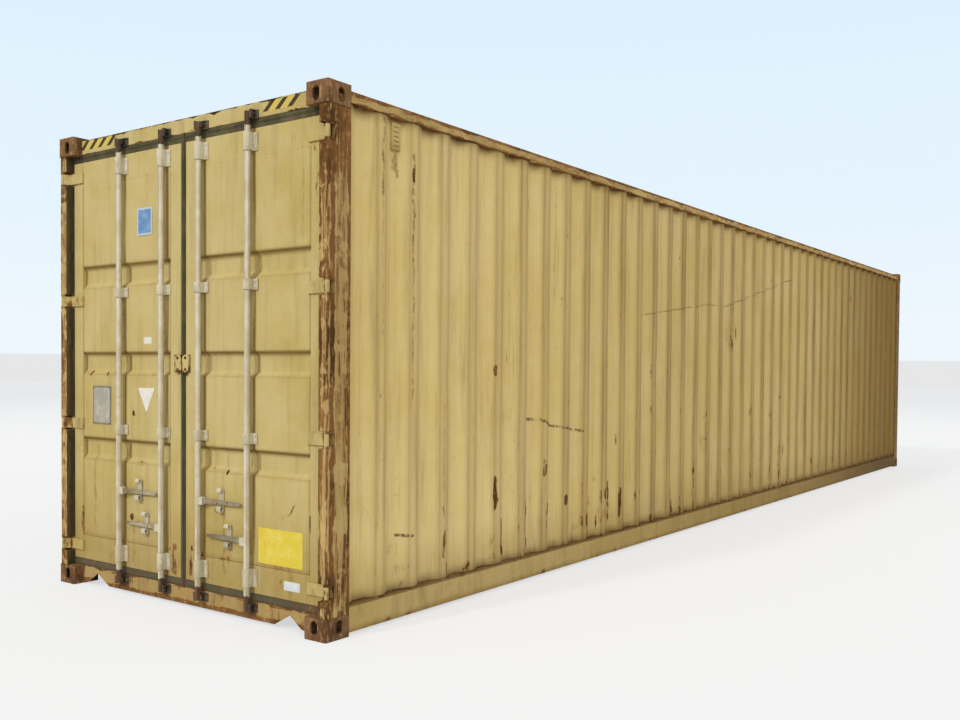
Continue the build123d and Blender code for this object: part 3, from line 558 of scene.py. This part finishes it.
# Front wall: the same wave, taken across the box
frontWall = Named(flat=0.104, depth=0.0456, waves=9, endFlat=0.02, face=0.012, sheet=0.002, low=0.15,
    high=2.778, half=1.159, bend=0.013, rows=40)
kinks, depths = foldLine(-frontWall.half, frontWall.half, frontWall)
across = foldStations(kinks, frontWall.bend, (kinks[1:] + kinks[:-1]) / 2)
y, z = np.meshgrid(across, np.linspace(frontWall.low, frontWall.high, frontWall.rows))
chance = np.random.default_rng(5)
dents = np.column_stack([chance.uniform(-1.1, 1.1, 24), chance.uniform(0.4, 2.6, 24),
    chance.uniform(0.05, 0.2, 24), chance.uniform(0.1, 0.4, 24), chance.uniform(0.001, 0.007, 24)])
x = box.halfLength - frontWall.face - foldDepth(y, kinks, depths, frontWall.bend) - hollows(y, z, dents)
stain = 0.3 * np.exp(-(z - frontWall.low) / 0.08) + 60 * hollows(y, z, dents)
makeSheet("frontWall", [x, y, z], gridFaces(*x.shape), frontWall.sheet, "container", frontPaint,
    "front_wall", stain=stain)

# Roof: low ribs across the sheet, height = the lower of a slope from the rib's side and one from its end
roofSheet = Named(x0=-5.946, x1=6.028, half=1.151, level=2.868, sheet=0.002, rise=0.018, ribs=55,
    ribWidth=0.08, ribEnd=0.11, margin=0.06)
pitch = (roofSheet.x1 - roofSheet.x0 - 2 * roofSheet.margin) / roofSheet.ribs
ribs = (roofSheet.x0 + roofSheet.x1) / 2 + pitch * (np.arange(roofSheet.ribs) - (roofSheet.ribs - 1) / 2)
offsets = np.array([-46, -40, -34, -28, -22, -16, 0, 16, 22, 28, 34, 40, 46]) / 1000
corners = [roofSheet.x0, -box.castingEnd, box.castingEnd, roofSheet.x1]
along = np.unique(np.concatenate([(ribs[:, None] + offsets).ravel(), corners]).round(5))
ribHalf = roofSheet.half - roofSheet.ribEnd
edgeRows = np.array([roofSheet.half, 1.1, box.castingIn, ribHalf + 0.006, ribHalf, ribHalf - 0.008,
    ribHalf - 0.016, ribHalf - 0.024])
acrossRows = np.unique(np.concatenate([edgeRows, -edgeRows, np.linspace(-0.95, 0.95, 13)]).round(5))
x, y = np.meshgrid(along, acrossRows)
toRib = np.abs(x[..., None] - ribs).min(-1)
sideSlope = np.mean([np.clip(roofSheet.ribWidth / 2 - toRib + d, 0, roofSheet.rise)
    for d in (-0.004, 0, 0.004)], 0)
endSlope = np.mean([np.clip(ribHalf - np.abs(y) + d, 0, roofSheet.rise) for d in (-0.004, 0, 0.004)], 0)
sag = hollows(x, y, np.column_stack([chance.uniform(-5.5, 5.5, 50), chance.uniform(-0.9, 0.9, 50),
    chance.uniform(0.1, 0.4, 50), chance.uniform(0.1, 0.4, 50), chance.uniform(0.001, 0.005, 50)]))
calm = np.clip((ribHalf - np.abs(y)) / 0.1, 0, 1)
z = roofSheet.level + np.minimum(sideSlope, endSlope) - sag * calm
quads = gridFaces(*x.shape)
middle = np.stack([x.ravel()[quads].mean(1), y.ravel()[quads].mean(1)], 1)
keep = ~((np.abs(middle[:, 0]) > box.castingEnd) & (np.abs(middle[:, 1]) > box.castingIn))
roofPaint = paintMaterial("roofPaint", rust=0.42, dirt=0.6, streak=(1, 1, 1), spotStretch=(1, 1, 1),
    spotScale=4.0, useStain=True)
makeSheet("roofSheet", [x, y, z], quads[keep], roofSheet.sheet, "container", roofPaint, "roof",
    stain=80 * sag)
print("stage 3: walls and roof made")

# Door panels: the pressed bands as a section in x and z, the same all the way across, with slight bulges
doorPanel = Named(bandDepth=0.028, bandHeight=0.144, shares=[0.283, 0.496, 0.711], sheet=0.003, bend=0.008,
    columns=46, bulge=0.0016)
doorScratches = {1: [], -1: [(-0.821, 0.6, -0.892, 0.632, 0.009, 0.85),
    (-0.892, 0.632, -0.929, 0.694, 0.009, 0.85), (-1.043, 0.63, -1.042, 0.55, 0.01, 0.9)]}
doorRust = {1: [(0.517, 0.491, 0.491, 0.03, 1.3), (1.05, 0.33, 0.5, 0.03, 0.6),
    (0.052, 1.48, 1.38, 0.03, 0.7), (0.1, 0.36, 0.2, 0.03, 0.42), (0.962, 1.38, 1.37, 0.02, 1.1),
    (0.776, 1.375, 1.368, 0.018, 1.1), (0.499, 1.138, 1.13, 0.02, 1.1)],
    -1: [(-0.022, 1.48, 1.38, 0.03, 0.7), (-0.56, 0.45, 0.4, 0.04, 0.5), (-1.08, 2.6, 2.2, 0.03, 0.5),
    (-0.06, 0.36, 0.2, 0.02, 0.36), (-0.375, 0.825, 0.815, 0.02, 1.1), (-0.28, 0.598, 0.588, 0.022, 1.1)]}
doorStains = {1: [(0.61, 1.83, 1.45, 0.02, 0.5), (0.188, 1.83, 1.52, 0.02, 0.5),
    (0.61, 0.98, 0.7, 0.02, 0.5), (0.5, 0.44, 0.22, 0.02, 0.6), (0.91, 0.9, 0.4, 0.016, 0.5),
    (0.36, 2.6, 2.3, 0.01, 0.4)], -1: [(-0.14, 1.83, 1.5, 0.02, 0.5), (-0.562, 1.83, 1.5, 0.02, 0.5),
    (-0.562, 0.98, 0.62, 0.02, 0.5), (-0.35, 0.6, 0.25, 0.018, 0.6), (-0.9, 0.33, 0.18, 0.03, 0.5),
    (-0.98, 2.6, 2.1, 0.01, 0.4)]}
doorLook = {s: dict(dirt=0.34, plane="end", rustTo=[(2, 0.6, 0.17, 0.3)], shades=[(2, 0.75, 0.15, 0.3)],
    # painted shadows behind the bars, a little to one side of each
    paintedBarShadows=[(place - 0.022, 0.018, 0.85) for place, turn, level in bars], drips=(11.0, 0.26, 0.17, 1.0),
    rustLines=onDoor(doorRust[s]), stains=onDoor(doorStains[s]), scratches=onDoor(doorScratches[s]))
    for s in (1, -1)}
doorPaint = {s: paintMaterial("doorPaint_" + sideName[s], **doorLook[s], rust=0.2, useStain=True,
    useGrimeAndShade=True) for s in (1, -1)}
leafHeight = box.leafHigh - box.leafLow
bandLevels = [box.leafLow + share * leafHeight for share in doorPanel.shares]
half, deep = doorPanel.bandHeight / 2, doorPanel.bandDepth
for s, side in sideName.items():
    low, high = box.leafLow + box.doorRail, box.leafHigh - box.doorRail
    levels, backs = [low], [0]
    for level in bandLevels:
        levels += [level - half, level - half + deep, level + half - deep, level + half]
        backs += [0, deep, deep, 0]
    levels, backs = np.array(levels + [high]), np.array(backs + [0])
    up = foldStations(levels, doorPanel.bend, np.arange(low, high, 0.03))
    inner = s * box.doorMiddle + box.leafMiddle + box.stile
    outer = box.leafHinge - box.stile
    y, z = np.meshgrid(s * np.linspace(inner, outer, doorPanel.columns), up)
    toEdge = np.minimum(np.abs(y) - inner, outer - np.abs(y))
    edge = np.clip(np.minimum(toEdge, np.minimum(z - low, high - z)) / 0.12, 0, 1)
    waves = np.sin(y * 9.0 + 1.3 * s) * np.sin(z * 5.1 + 0.6) + 0.6 * np.sin(y * 17 + z * 3.3)
    x = box.leafPlane + foldDepth(z, levels, backs, doorPanel.bend) + doorPanel.bulge * (1 + waves) * edge
    stain = 0.22 * np.exp(-(np.abs(y) - inner) / 0.02) + 0.22 * np.exp(-(outer - np.abs(y)) / 0.02)
    stain += 0.35 * np.exp(-(z - low) / 0.03)
    # painted shade lies under each band's upper edge, where its downward slope is shaded, along its lower
    # edge, along the panel's foot and in the corners by the stiles
    grime = 0.3 * np.exp(-(toEdge / 0.008) ** 2) + 0.45 * np.exp(-((z - low) / 0.012) ** 2)
    for level in bandLevels:
        top, foot = level + half, level - half
        stain += 0.35 * np.exp(-np.abs(z - foot - 0.012) / 0.012) + 0.16 * np.exp(-np.abs(z - top) / 0.01)
        grime += 0.95 * np.exp(-((z - top + 0.01) / 0.01) ** 2) + 0.3 * np.exp(-((z - foot) / 0.007) ** 2)
    makeSheet("doorPanel_" + side, [x, y, z], gridFaces(*x.shape, flip=s > 0), doorPanel.sheet,
        side + "_door", doorPaint[s], "door_panel_" + side, stain=stain, grime=grime)
print("stage 4: door panels made")

# Door seals: two soft beads round each leaf, on the door's body
sealLip = Named(depths=((0.006, -6.0315), (0.0135, -6.0325)), half=0.004, outer=1.1485, low=0.1185,
    high=2.7775, corner=0.012, bead=0.0032)
sealRubber, surface, (x, y, z) = startMaterial("sealRubber")
fine, dust = grain(60.0, 5.0, 0.6), grain(6.0, 6.0, 0.65)
colour = mix(fade(dust, 0.42, 0.7), (0.072, 0.061, 0.028), (0.125, 0.106, 0.055))
low = fade(z + dust * 0.1, 0.34, 0.17)
colour = mix(low * 0.7, colour, (0.11, 0.085, 0.05))
colour = mix(fade(fine, 0.6, 0.75), colour, (0.16, 0.12, 0.065))
crust = fade(grain(16.0, 7.0, 0.7, shift=(1, 5, 2)) + low * 0.13, 0.65, 0.71)
finishSurface(surface, mix(crust, colour, rustColour()), fine * 0.2 + 0.7, fine, 0.0008, specular=0.18)

for s, side in sideName.items():
    parts = []
    for inset, x in sealLip.depths:
        y0 = s * box.doorMiddle + sealLip.half + inset / 2
        y1 = sealLip.outer - inset / 2
        z0, z1 = sealLip.low + inset, sealLip.high - inset
        flat = roundedBox(y1 - y0, z1 - z0, sealLip.corner, 5) + [s * (y0 + y1) / 2, (z0 + z1) / 2]
        path = np.column_stack([np.full(len(flat), x), flat])
        parts.append(sweep(path, disc(sealLip.bead, 6), (1, 0, 0), ring=True))
    makePiece("sealLip_" + side, parts, side + "_door", "seal_rubber", sealRubber, angle=60)

# Bars and their hardware
barPaint, surface, (x, y, z) = startMaterial("barPaint")
colour = mix(fade(grain(8.0, 6.0, 0.65), 0.4, 0.62), tint.creamWorn, tint.cream)
runs = grain(12.0, 6.0, 0.7, (2, 2, 0.25), (1, 0, 3))
colour = mix(fade(runs, 0.5, 0.74) * 0.3, colour, (0.3, 0.215, 0.11))
ends = unionOf([fade(z, 0.17, 0.13), fade(z, 2.725, 2.765)])
core = fade(grain(22.0, 8.0, 0.72, shift=(0, 3, 1)) + ends * 0.45, 0.66, 0.71)
fine = grain(120.0, 3.0, 0.6)
finishSurface(surface, mix(core, colour, rustColour("dark")), core * 0.35 + (fine * 0.1 + 0.42),
    core + fine * 0.2, 0.0008)


# Bare steel and undercoat: two dark tones in patches, with small lighter grains
def darkMaterial(name, small, patch, tones, grains, rough, distance):
    material, surface, axes = startMaterial(name)
    small, patch = grain(*small), grain(*patch)
    colour = mix(fade(patch, *tones[:2]), *tones[2:])
    colour = mix(fade(small, *grains[:2]), colour, grains[2])
    finishSurface(surface, colour, small * rough[0] + rough[1], small, distance)
    return material


darkSteel = darkMaterial("darkSteel", (30.0, 7.0, 0.7), (7.0, 5.0, 0.6, (1, 1, 1), (2, 2, 0)),
    (0.4, 0.62, (0.034, 0.025, 0.016), (0.085, 0.055, 0.03)), (0.56, 0.7, (0.165, 0.105, 0.05)),
    (0.3, 0.55), 0.0012)
undercoat = darkMaterial("undercoat", (35.0, 6.0, 0.7), (5.0, 7.0, 0.65),
    (0.42, 0.6, (0.03, 0.027, 0.022), (0.085, 0.06, 0.038)), (0.58, 0.72, (0.17, 0.085, 0.042)),
    (0.2, 0.62), 0.0015)
handlePaint = paintMaterial("handlePaint", fresh=(0.17, 0.145, 0.1), faded=(0.42, 0.38, 0.28), rust=0.55,
    dirt=0.95, spotScale=20.0, plane="end", streak=(3, 3, 3), rustTone="dark")
catchPaint = paintMaterial("catchPaint", fresh=tint.creamWorn, faded=tint.cream, rust=0.35, dirt=0.7,
    spotScale=18.0, plane="end", streak=(3, 3, 1))
guidePaint = paintMaterial("guidePaint", fresh=tint.creamWorn, faded=tint.cream, rust=0.42, dirt=0.6,
    spotScale=18.0, plane="end", streak=(3, 3, 1), drips=(30.0, 0.25, 0.2, 0.6))
bladePaint = paintMaterial("bladePaint", rust=0.5, dirt=0.6, spotScale=14.0, plane="end", streak=(3, 3, 1),
    bands=[(1, 1.17, 0.03, 0.4), (1, -1.17, 0.03, 0.4)])
lockPlatePaint = paintMaterial("lockPlatePaint", rust=0.34, dirt=0.5, spotScale=14.0, plane="end",
    bands=[(2, 1.385, 0.016, 0.7), (2, 1.494, 0.012, 0.5), (1, 0.076, 0.01, 0.6), (1, -0.048, 0.01, 0.6),
    (1, 0.014, 0.012, 0.6)])

# Handles: a flat bar with rounded edges, bent back towards the door beyond its hub and narrower at its tip
handle = Named(pivot=0.034, bendStart=0.064, bendEnd=0.11, setBack=0.012, length=0.356, thick=0.0098,
    hub=0.0276, tip=0.0176)
catch = Named(place=0.178, width=0.038, thick=0.006)
for k, (place, turn, level) in enumerate(bars):
    run = np.concatenate([[0.02, 0.0215, 0.025, 0.031], np.linspace(0.04, 0.335, 26),
        [0.345, 0.351, 0.3545, handle.length]])
    share = np.clip((run - handle.bendStart) / (handle.bendEnd - handle.bendStart), 0, 1)
    back = handle.setBack * share * share * (3 - 2 * share)
    path = np.column_stack([box.barX + back, place - turn * run, np.full(len(run), level)])
    tall = handle.hub + (handle.tip - handle.hub) * np.clip((run - 0.04) / 0.3, 0, 1)
    ends = np.sqrt(np.clip(1 - ((np.maximum(handle.pivot - run, 0) / 0.0142) ** 2), 0.02, 1))
    ends *= np.sqrt(np.clip(1 - ((np.maximum(run - 0.347, 0) / 0.0091) ** 2), 0.02, 1))
    part = sweep(path, roundedBox(handle.thick, 1.0, 0.003), (0, 0, 1), wide=np.clip(ends * 1.6, 0.3, 1),
        tall=tall * ends)
    makePiece(f"handle_{k + 1}", [part], f"handle_{k + 1}", "dark_steel", handlePaint,
        [f"lock_handle_{k + 1}"], angle=50)

# Catches: a plate bent into a hook above and below the handle, with a ledge for it to lie on
for s, side in sideName.items():
    parts = []
    for place, turn, level in leafBars[s]:
        middle = place - turn * catch.place
        hook = np.array([(0.029, 0.06), (0.03, 0.07), (0.036, 0.078), (0.045, 0.077), (0.052, 0.068),
            (0.0545, 0.055), (0.0545, -0.036), (0.052, -0.047), (0.045, -0.055), (0.036, -0.056),
            (0.03, -0.05), (0.0285, -0.04), (0.0285, -0.026)])
        path = np.column_stack([hook[:, 0] - box.halfLength, np.full(len(hook), middle),
            hook[:, 1] + level])
        parts.append(sweep(path, roundedBox(catch.thick, catch.width, 0.002), (0, 1, 0)))
        ledge = np.array([(-6.066, -0.0245), (-6.06, -0.0245), (-6.0385, -0.0245)])
        path = np.column_stack([ledge[:, 0], np.full(3, middle), ledge[:, 1] + level])
        parts.append(sweep(path, roundedBox(0.007, catch.width, 0.002), (0, 1, 0)))
        heads = [(box.leafPlane - 0.0065, middle, level + dz) for dz in (0.036, 0.0)]
        parts += domes(heads, (-1, 0, 0), 0.007, 0.004)
    makePiece("handleCatch_" + side, parts, side + "_door", "ochre_paint", catchPaint,
        ["handle_catches_" + side], angle=50)

# Bolt heads: four on each guide and bearing, two on each lock plate
for s, side in sideName.items():
    heads = []
    for place, turn, level in leafBars[s]:
        for levels, tall in ((box.bearingLevels, 0.034), (box.guideLevels, 0.016)):
            heads += [(-6.046, place + dy, level + dz) for level in levels for dy in (-0.042, 0.042)
                for dz in (-tall, tall)]
    makePiece("guideBolts_" + side, domes(heads, (-1, 0, 0), 0.0075, 0.0055), side + "_door",
        "rusted_steel", guidePaint, angle=40)
    heads = [(-6.052, box.doorMiddle + s * 0.036, 1.4397 + dz) for dz in (-0.034, 0.034)]
    makePiece("plateBolts_" + side, domes(heads, (-1, 0, 0), 0.009, 0.005), side + "_door", "rusted_steel",
        rustySteel, angle=40)
print("stage 5: door hardware made")

# Bare label places on the doors: side, middle and size in y and z, thickness, two colours, roughness and
# the colour of a rim
labels = {
    "dataPlate": (1, (0.833, 1.172, 0.193, 0.246), 0.002, (0.33, 0.31, 0.25), (0.46, 0.43, 0.33), 0.35,
        (0.2, 0.17, 0.11)),
    "smallSticker": (1, (0.357, 1.58, 0.08, 0.041), 0.0006, (0.62, 0.6, 0.5), (0.72, 0.7, 0.6), 0.45, None),
    "blueSticker": (1, (0.388, 2.305, 0.149, 0.168), 0.0006, (0.1, 0.22, 0.42), (0.2, 0.33, 0.52), 0.4,
        (0.45, 0.52, 0.58)),
    "yellowPanel": (-1, (-0.814, 0.441, 0.345, 0.196), 0.0006, (0.66, 0.5, 0.03), (0.7, 0.56, 0.085), 0.45,
        None),
    "footSticker": (-1, (-0.906, 0.242, 0.124, 0.05), 0.0006, (0.55, 0.6, 0.62), (0.7, 0.72, 0.7), 0.45,
        None)}


def labelMaterial(name, base, worn, rough=0.45, spot=None, rim=None):
    material, surface, (x, y, z) = startMaterial(name)
    colour = mix(fade(grain(14.0, 6.0, 0.65), 0.42, 0.66), base, worn)
    scuffs = grain(40.0, 7.0, 0.75, (1, 1, 0.5))
    colour = mix(fade(scuffs, 0.58, 0.76) * 0.7, colour, tint.soot)
    if rim:
        cy, cz, width, tall = spot
        inset = calc("MINIMUM", width / 2 - abs(y - cy), tall / 2 - abs(z - cz))
        colour = mix(fade(inset, 0.012 * 1.15, 0.012 * 0.85), colour, rim)
    finishSurface(surface, colour, grain(150.0, 3.0, 0.6) * 0.2 + rough, scuffs, 0.0003)
    return material


for name, (side, spot, thick, *paint) in labels.items():
    cy, cz, width, tall = spot
    part = plate(roundedBox(width, tall, 0.006) + [cy, cz], box.leafPlane, -1, thick)
    makePiece(name, [part], sideName[side] + "_door", "bar_paint" if name != "dataPlate" else "dark_steel",
        labelMaterial(name + "Paint", *paint[:3], spot, paint[3]), angle=30)
plateY, plateZ = labels["dataPlate"][1][:2]
rivets = [(-6.0398, plateY + dy, plateZ + dz) for dy in (-0.087, 0.087) for dz in (-0.112, 0.112)]
makePiece("plateRivets", domes(rivets, (-1, 0, 0), 0.0045, 0.0025, 8), "left_door", "dark_steel", darkSteel)
corner = np.array([(0.453, 1.29), (0.289, 1.29), (0.371, 1.138)])
edges = np.concatenate([corner[k] + np.linspace(0.05, 0.95, 6)[:, None] * (corner[(k + 1) % 3] - corner[k])
    for k in range(3)])
makePiece("triangleSticker", [plate(edges, box.leafPlane, -1, 0.0006)], "left_door", "bar_paint",
    labelMaterial("stickerWhite", (0.7, 0.66, 0.58), (0.78, 0.74, 0.66)), angle=30)
print("stage 6: label places made")

# Header with slanted marks near both ends, and the other frame members
stripes = Named(lean=1.15, pitch=0.096, width=0.04, low=2.812, high=2.87, soft=0.002,
    spans=[(2.339, 3), (3.978, 4)], ground=(0.62, 0.47, 0.1))
headerPaint = paintMaterial("headerPaint", rust=0.26, dirt=0.45, plane="end", stripes=stripes,
    bands=[(2, 2.876, 0.01, 0.9), (2, 2.788, 0.006, 0.6)], streak=(3, 3, 0.6), rustTone="dark")
sillPaint = paintMaterial("sillPaint", rust=0.58, dirt=1.0, fresh=(0.37, 0.255, 0.095),
    faded=(0.43, 0.31, 0.125), soft=0.02, plane="end", streak=(3, 3, 0.6),
    bands=[(1, -1.08, 0.06, 0.8), (1, 1.08, 0.06, 0.8), (2, 0.03, 0.02, 0.6), (2, 0.118, 0.008, 0.4)]
        + [(1, place, 0.07, 0.4) for place, turn, level in bars])
framePaint = paintMaterial("framePaint", rust=0.4, dirt=0.5)
ventPaint = paintMaterial("ventPaint", rust=0.05, dirt=0.3, fresh=(0.54, 0.405, 0.15),
    faded=(0.6, 0.46, 0.19), shades=[(2, 2.71, 2.63, 0.45)])
frontPostPaint = paintMaterial("frontPostPaint", rust=0.72, dirt=0.8, soft=0.03, rustTone="dark",
    fresh=(0.16, 0.11, 0.048), faded=(0.24, 0.17, 0.075), streak=(9, 9, 0.4), spotStretch=(2.2, 2.2, 0.55))
leafPaint = {s: paintMaterial("leafPaint_" + sideName[s], **doorLook[s], rust=0.24) for s in (1, -1)}

plywood, surface, (x, y, z) = startMaterial("plywood")
lines = grain(5.0, 8.0, 0.65, (0.35, 9, 1))
board = calc("FLOOR", calc("DIVIDE", x + 12.0, 1.2))
tone = out(addNode("TexWhiteNoise", {"W": board}, noise_dimensions="1D"))
colour = mix(fade(lines, 0.35, 0.68), (0.2, 0.115, 0.058), (0.36, 0.235, 0.125))
colour = mix(tone * 0.35, colour, (0.16, 0.095, 0.05))
colour = mix(fade(grain(1.6, 5.0, 0.6), 0.52, 0.72) * 0.6, colour, (0.075, 0.048, 0.03))
# dark gaps between boards, across and along
gap = unionOf([fade(calc("PINGPONG", x + 12.0, 0.6), 0.004, 0.0015),
    fade(calc("PINGPONG", y + 3.492, 0.582), 0.004, 0.0015)])
colour = mix(gap, colour, (0.02, 0.015, 0.01))
finishSurface(surface, colour, lines * 0.25 + 0.55, lines * 0.4 - gap, 0.002)

# Screw heads in the floor boards, over every cross member
screws = Named(pitch=0.305, start=-5.79, rows=[-1.05, -0.62, -0.545, -0.04, 0.04, 0.545, 0.62, 1.05],
    count=38)
spots = [(screws.start + screws.pitch * k, row, 0.1779) for k in range(screws.count) for row in screws.rows]
makePiece("floorScrews", domes(spots, (0, 0, 1), 0.0065, 0.0012, 8), "container", "dark_steel", darkSteel)

# CAD nodes that stay: how their names start, their paint, and how wide their edges are rounded
dressing = [("rear_bottom rear_top front_bottom front_top_castings", castingPaint, 0.008),
    ("rear_post_left", rearPostPaint[1], 0.003), ("rear_post_right", rearPostPaint[-1], 0.003),
    ("front_post", frontPostPaint, 0.003), ("hinge_lugs", lugPaint, 0.0012),
    ("top_rail front_top_rail", topRailPaint, 0.003), ("bottom_rail", bottomRailPaint, 0.003),
    ("door_header", headerPaint, 0.003), ("door_sill", sillPaint, 0.003), ("front_sill", framePaint, 0.003),
    ("side_vent", ventPaint, 0.0008), ("bottom_keepers top_keepers", darkSteel, 0.0012),
    ("floor", plywood, 0.0), ("cross_members outriggers gooseneck_tunnel", undercoat, 0.0),
    ("door_stiles_left door_rails_left", leafPaint[1], 0.002),
    ("door_stiles_right door_rails_right", leafPaint[-1], 0.002), ("door_seal", sealRubber, 0.0015),
    ("hinge_blades", bladePaint, 0.0015), ("bar_guides", guidePaint, 0.0015),
    ("lock_plate", lockPlatePaint, 0.002), ("locking_bar", barPaint, 0.001)]
for starts, material, rounding in dressing:
    for name in [name for name in nodes if name.startswith(tuple(starts.split()))]:
        item = nodes[name]
        item.data.materials.clear()
        item.data.materials.append(material)
        weld = item.modifiers.new("weld", "WELD")
        weld.merge_threshold = 0.00002
        flat = item.modifiers.new("flat", "DECIMATE")
        flat.decimate_type = "DISSOLVE"
        flat.angle_limit = math.radians(1.5)
        if rounding:
            edges = item.modifiers.new("edges", "BEVEL")
            edges.width = rounding
            edges.segments = 2
            edges.limit_method = "ANGLE"
            edges.angle_limit = math.radians(40)
print("stage 7: materials on the solid parts")

# Floor and sky
stage = Named(radius=90.0, near=(0.905, 0.906, 0.912), far=(0.79, 0.795, 0.805), bounce=(0.6, 0.59, 0.57),
    own=0.7)
angle = np.arange(96) * 2 * math.pi / 96
rings = np.array([0.5, 6, 12, 25, 50, stage.radius])[:, None]
points = np.stack([rings * np.cos(angle), rings * np.sin(angle), np.zeros((6, 96))], -1)
mesh = bpy.data.meshes.new("studioFloor")
mesh.from_pydata(points.reshape(-1, 3).tolist(), [], gridFaces(6, 96, False, True, flip=True).tolist()
    + [list(range(96))])
studioFloor = bpy.data.objects.new("studioFloor", mesh)
bpy.context.scene.collection.objects.link(studioFloor)

# 1 where the camera sees a thing directly, mirrored or through glass, 0 for the light it throws
def seenRays():
    rays = addNode("LightPath")
    return unionOf([out(rays, key) for key in ("Is Camera Ray", "Is Glossy Ray", "Is Transmission Ray")])


# seen directly, most of the floor's brightness is its own, so that shadows stay faint
floorPale, surface, axes = startMaterial("floorPale")
mottle = grain(0.5, 3.0, 0.5)
distance = vectorMath("LENGTH", bench.coords, result="Value")
tone = mix(mottle * 0.02, mix(fade(distance, 8.0, 45.0), stage.near, stage.far), (0.7, 0.7, 0.7))
seen = seenRays()
glow = vectorMath("SCALE", tone, seen * stage.own)
surface.inputs["Emission Strength"].default_value = 1.0
bench.tree.links.new(glow.socket, surface.inputs["Emission Color"])
tone = mix(seen, stage.bounce, vectorMath("SCALE", tone, 1 - stage.own))
finishSurface(surface, tone, mottle * 0.1 + 0.85, mottle, 0.001, 0.1, specular=0.1)
mesh.materials.append(floorPale)

# The sky is brighter on the door side and on the side wall's side
skyLight = Named(level=0.7, ahead=-0.24, aside=-0.28)
world = bpy.data.worlds.new("studioSky")
bpy.context.scene.world = world
world.use_nodes = True
bench.tree = world.node_tree
world.node_tree.nodes.clear()
ahead, aside, rise = split(out(addNode("TexCoord"), "Generated"))
strength = ahead * skyLight.ahead + aside * skyLight.aside + skyLight.level
light = out(addNode("Background", {"Color": (1.0, 1.0, 0.99), "Strength": strength}))
sky = mix(fade(rise, 0.0, 0.2), (0.865, 0.93, 0.985), (0.775, 0.9, 0.99))
sky = mix(fade(rise, 0.2, 0.42), sky, (0.715, 0.85, 0.985))
sky = mix(fade(rise, 0.01, 0.0114), (0.795, 0.797, 0.805), sky)
shown = out(addNode("Background", {"Color": sky, "Strength": 1.0}))
addNode("OutputWorld", {0: out(addNode("MixShader", {0: seenRays(), 1: light, 2: shown}))})

# Suns: energy, angle and the way to them
lamps = {"doorSun": (1.15, 5, (-0.82, 0.16, 0.55)), "softSun": (0.5, 30, (-0.6, -0.6, 0.53))}
for name, (energy, angle, way) in lamps.items():
    sun = bpy.data.lights.new(name, "SUN")
    sun.energy = energy
    sun.angle = math.radians(angle)
    sun.color = (1.0, 0.99, 0.97)
    item = bpy.data.objects.new(name, sun)
    item.rotation_euler = Vector(way).to_track_quat("Z", "Y").to_euler()
    bpy.context.scene.collection.objects.link(item)

# Camera: place, turn about Z, tilt and roll from the photo's vanishing lines
view = Named(place=(-9.7113, -4.795, 1.4213), turn=0.62518, tilt=-0.02485, roll=0.00785, lens=36.844,
    shift=0.0348)
forward = np.array([math.cos(view.turn) * math.cos(view.tilt), math.sin(view.turn) * math.cos(view.tilt),
    math.sin(view.tilt)])
right = np.array([math.sin(view.turn), -math.cos(view.turn), 0.0])
up = np.cross(right, forward)
rolledRight = math.cos(view.roll) * right + math.sin(view.roll) * up
rolledUp = -math.sin(view.roll) * right + math.cos(view.roll) * up
camera = bpy.data.objects.new("camera", bpy.data.cameras.new("camera"))
camera.data.lens = view.lens
camera.data.sensor_width = 36
camera.data.shift_y = view.shift
camera.data.clip_end = 300
turned = Matrix(np.column_stack([rolledRight, rolledUp, -forward]).tolist()).to_4x4()
camera.matrix_world = Matrix.Translation(view.place) @ turned
bpy.context.scene.collection.objects.link(camera)
bpy.context.scene.camera = camera
bpy.context.scene.view_settings.view_transform = "Standard"
print("stage 8: floor, light and camera made")
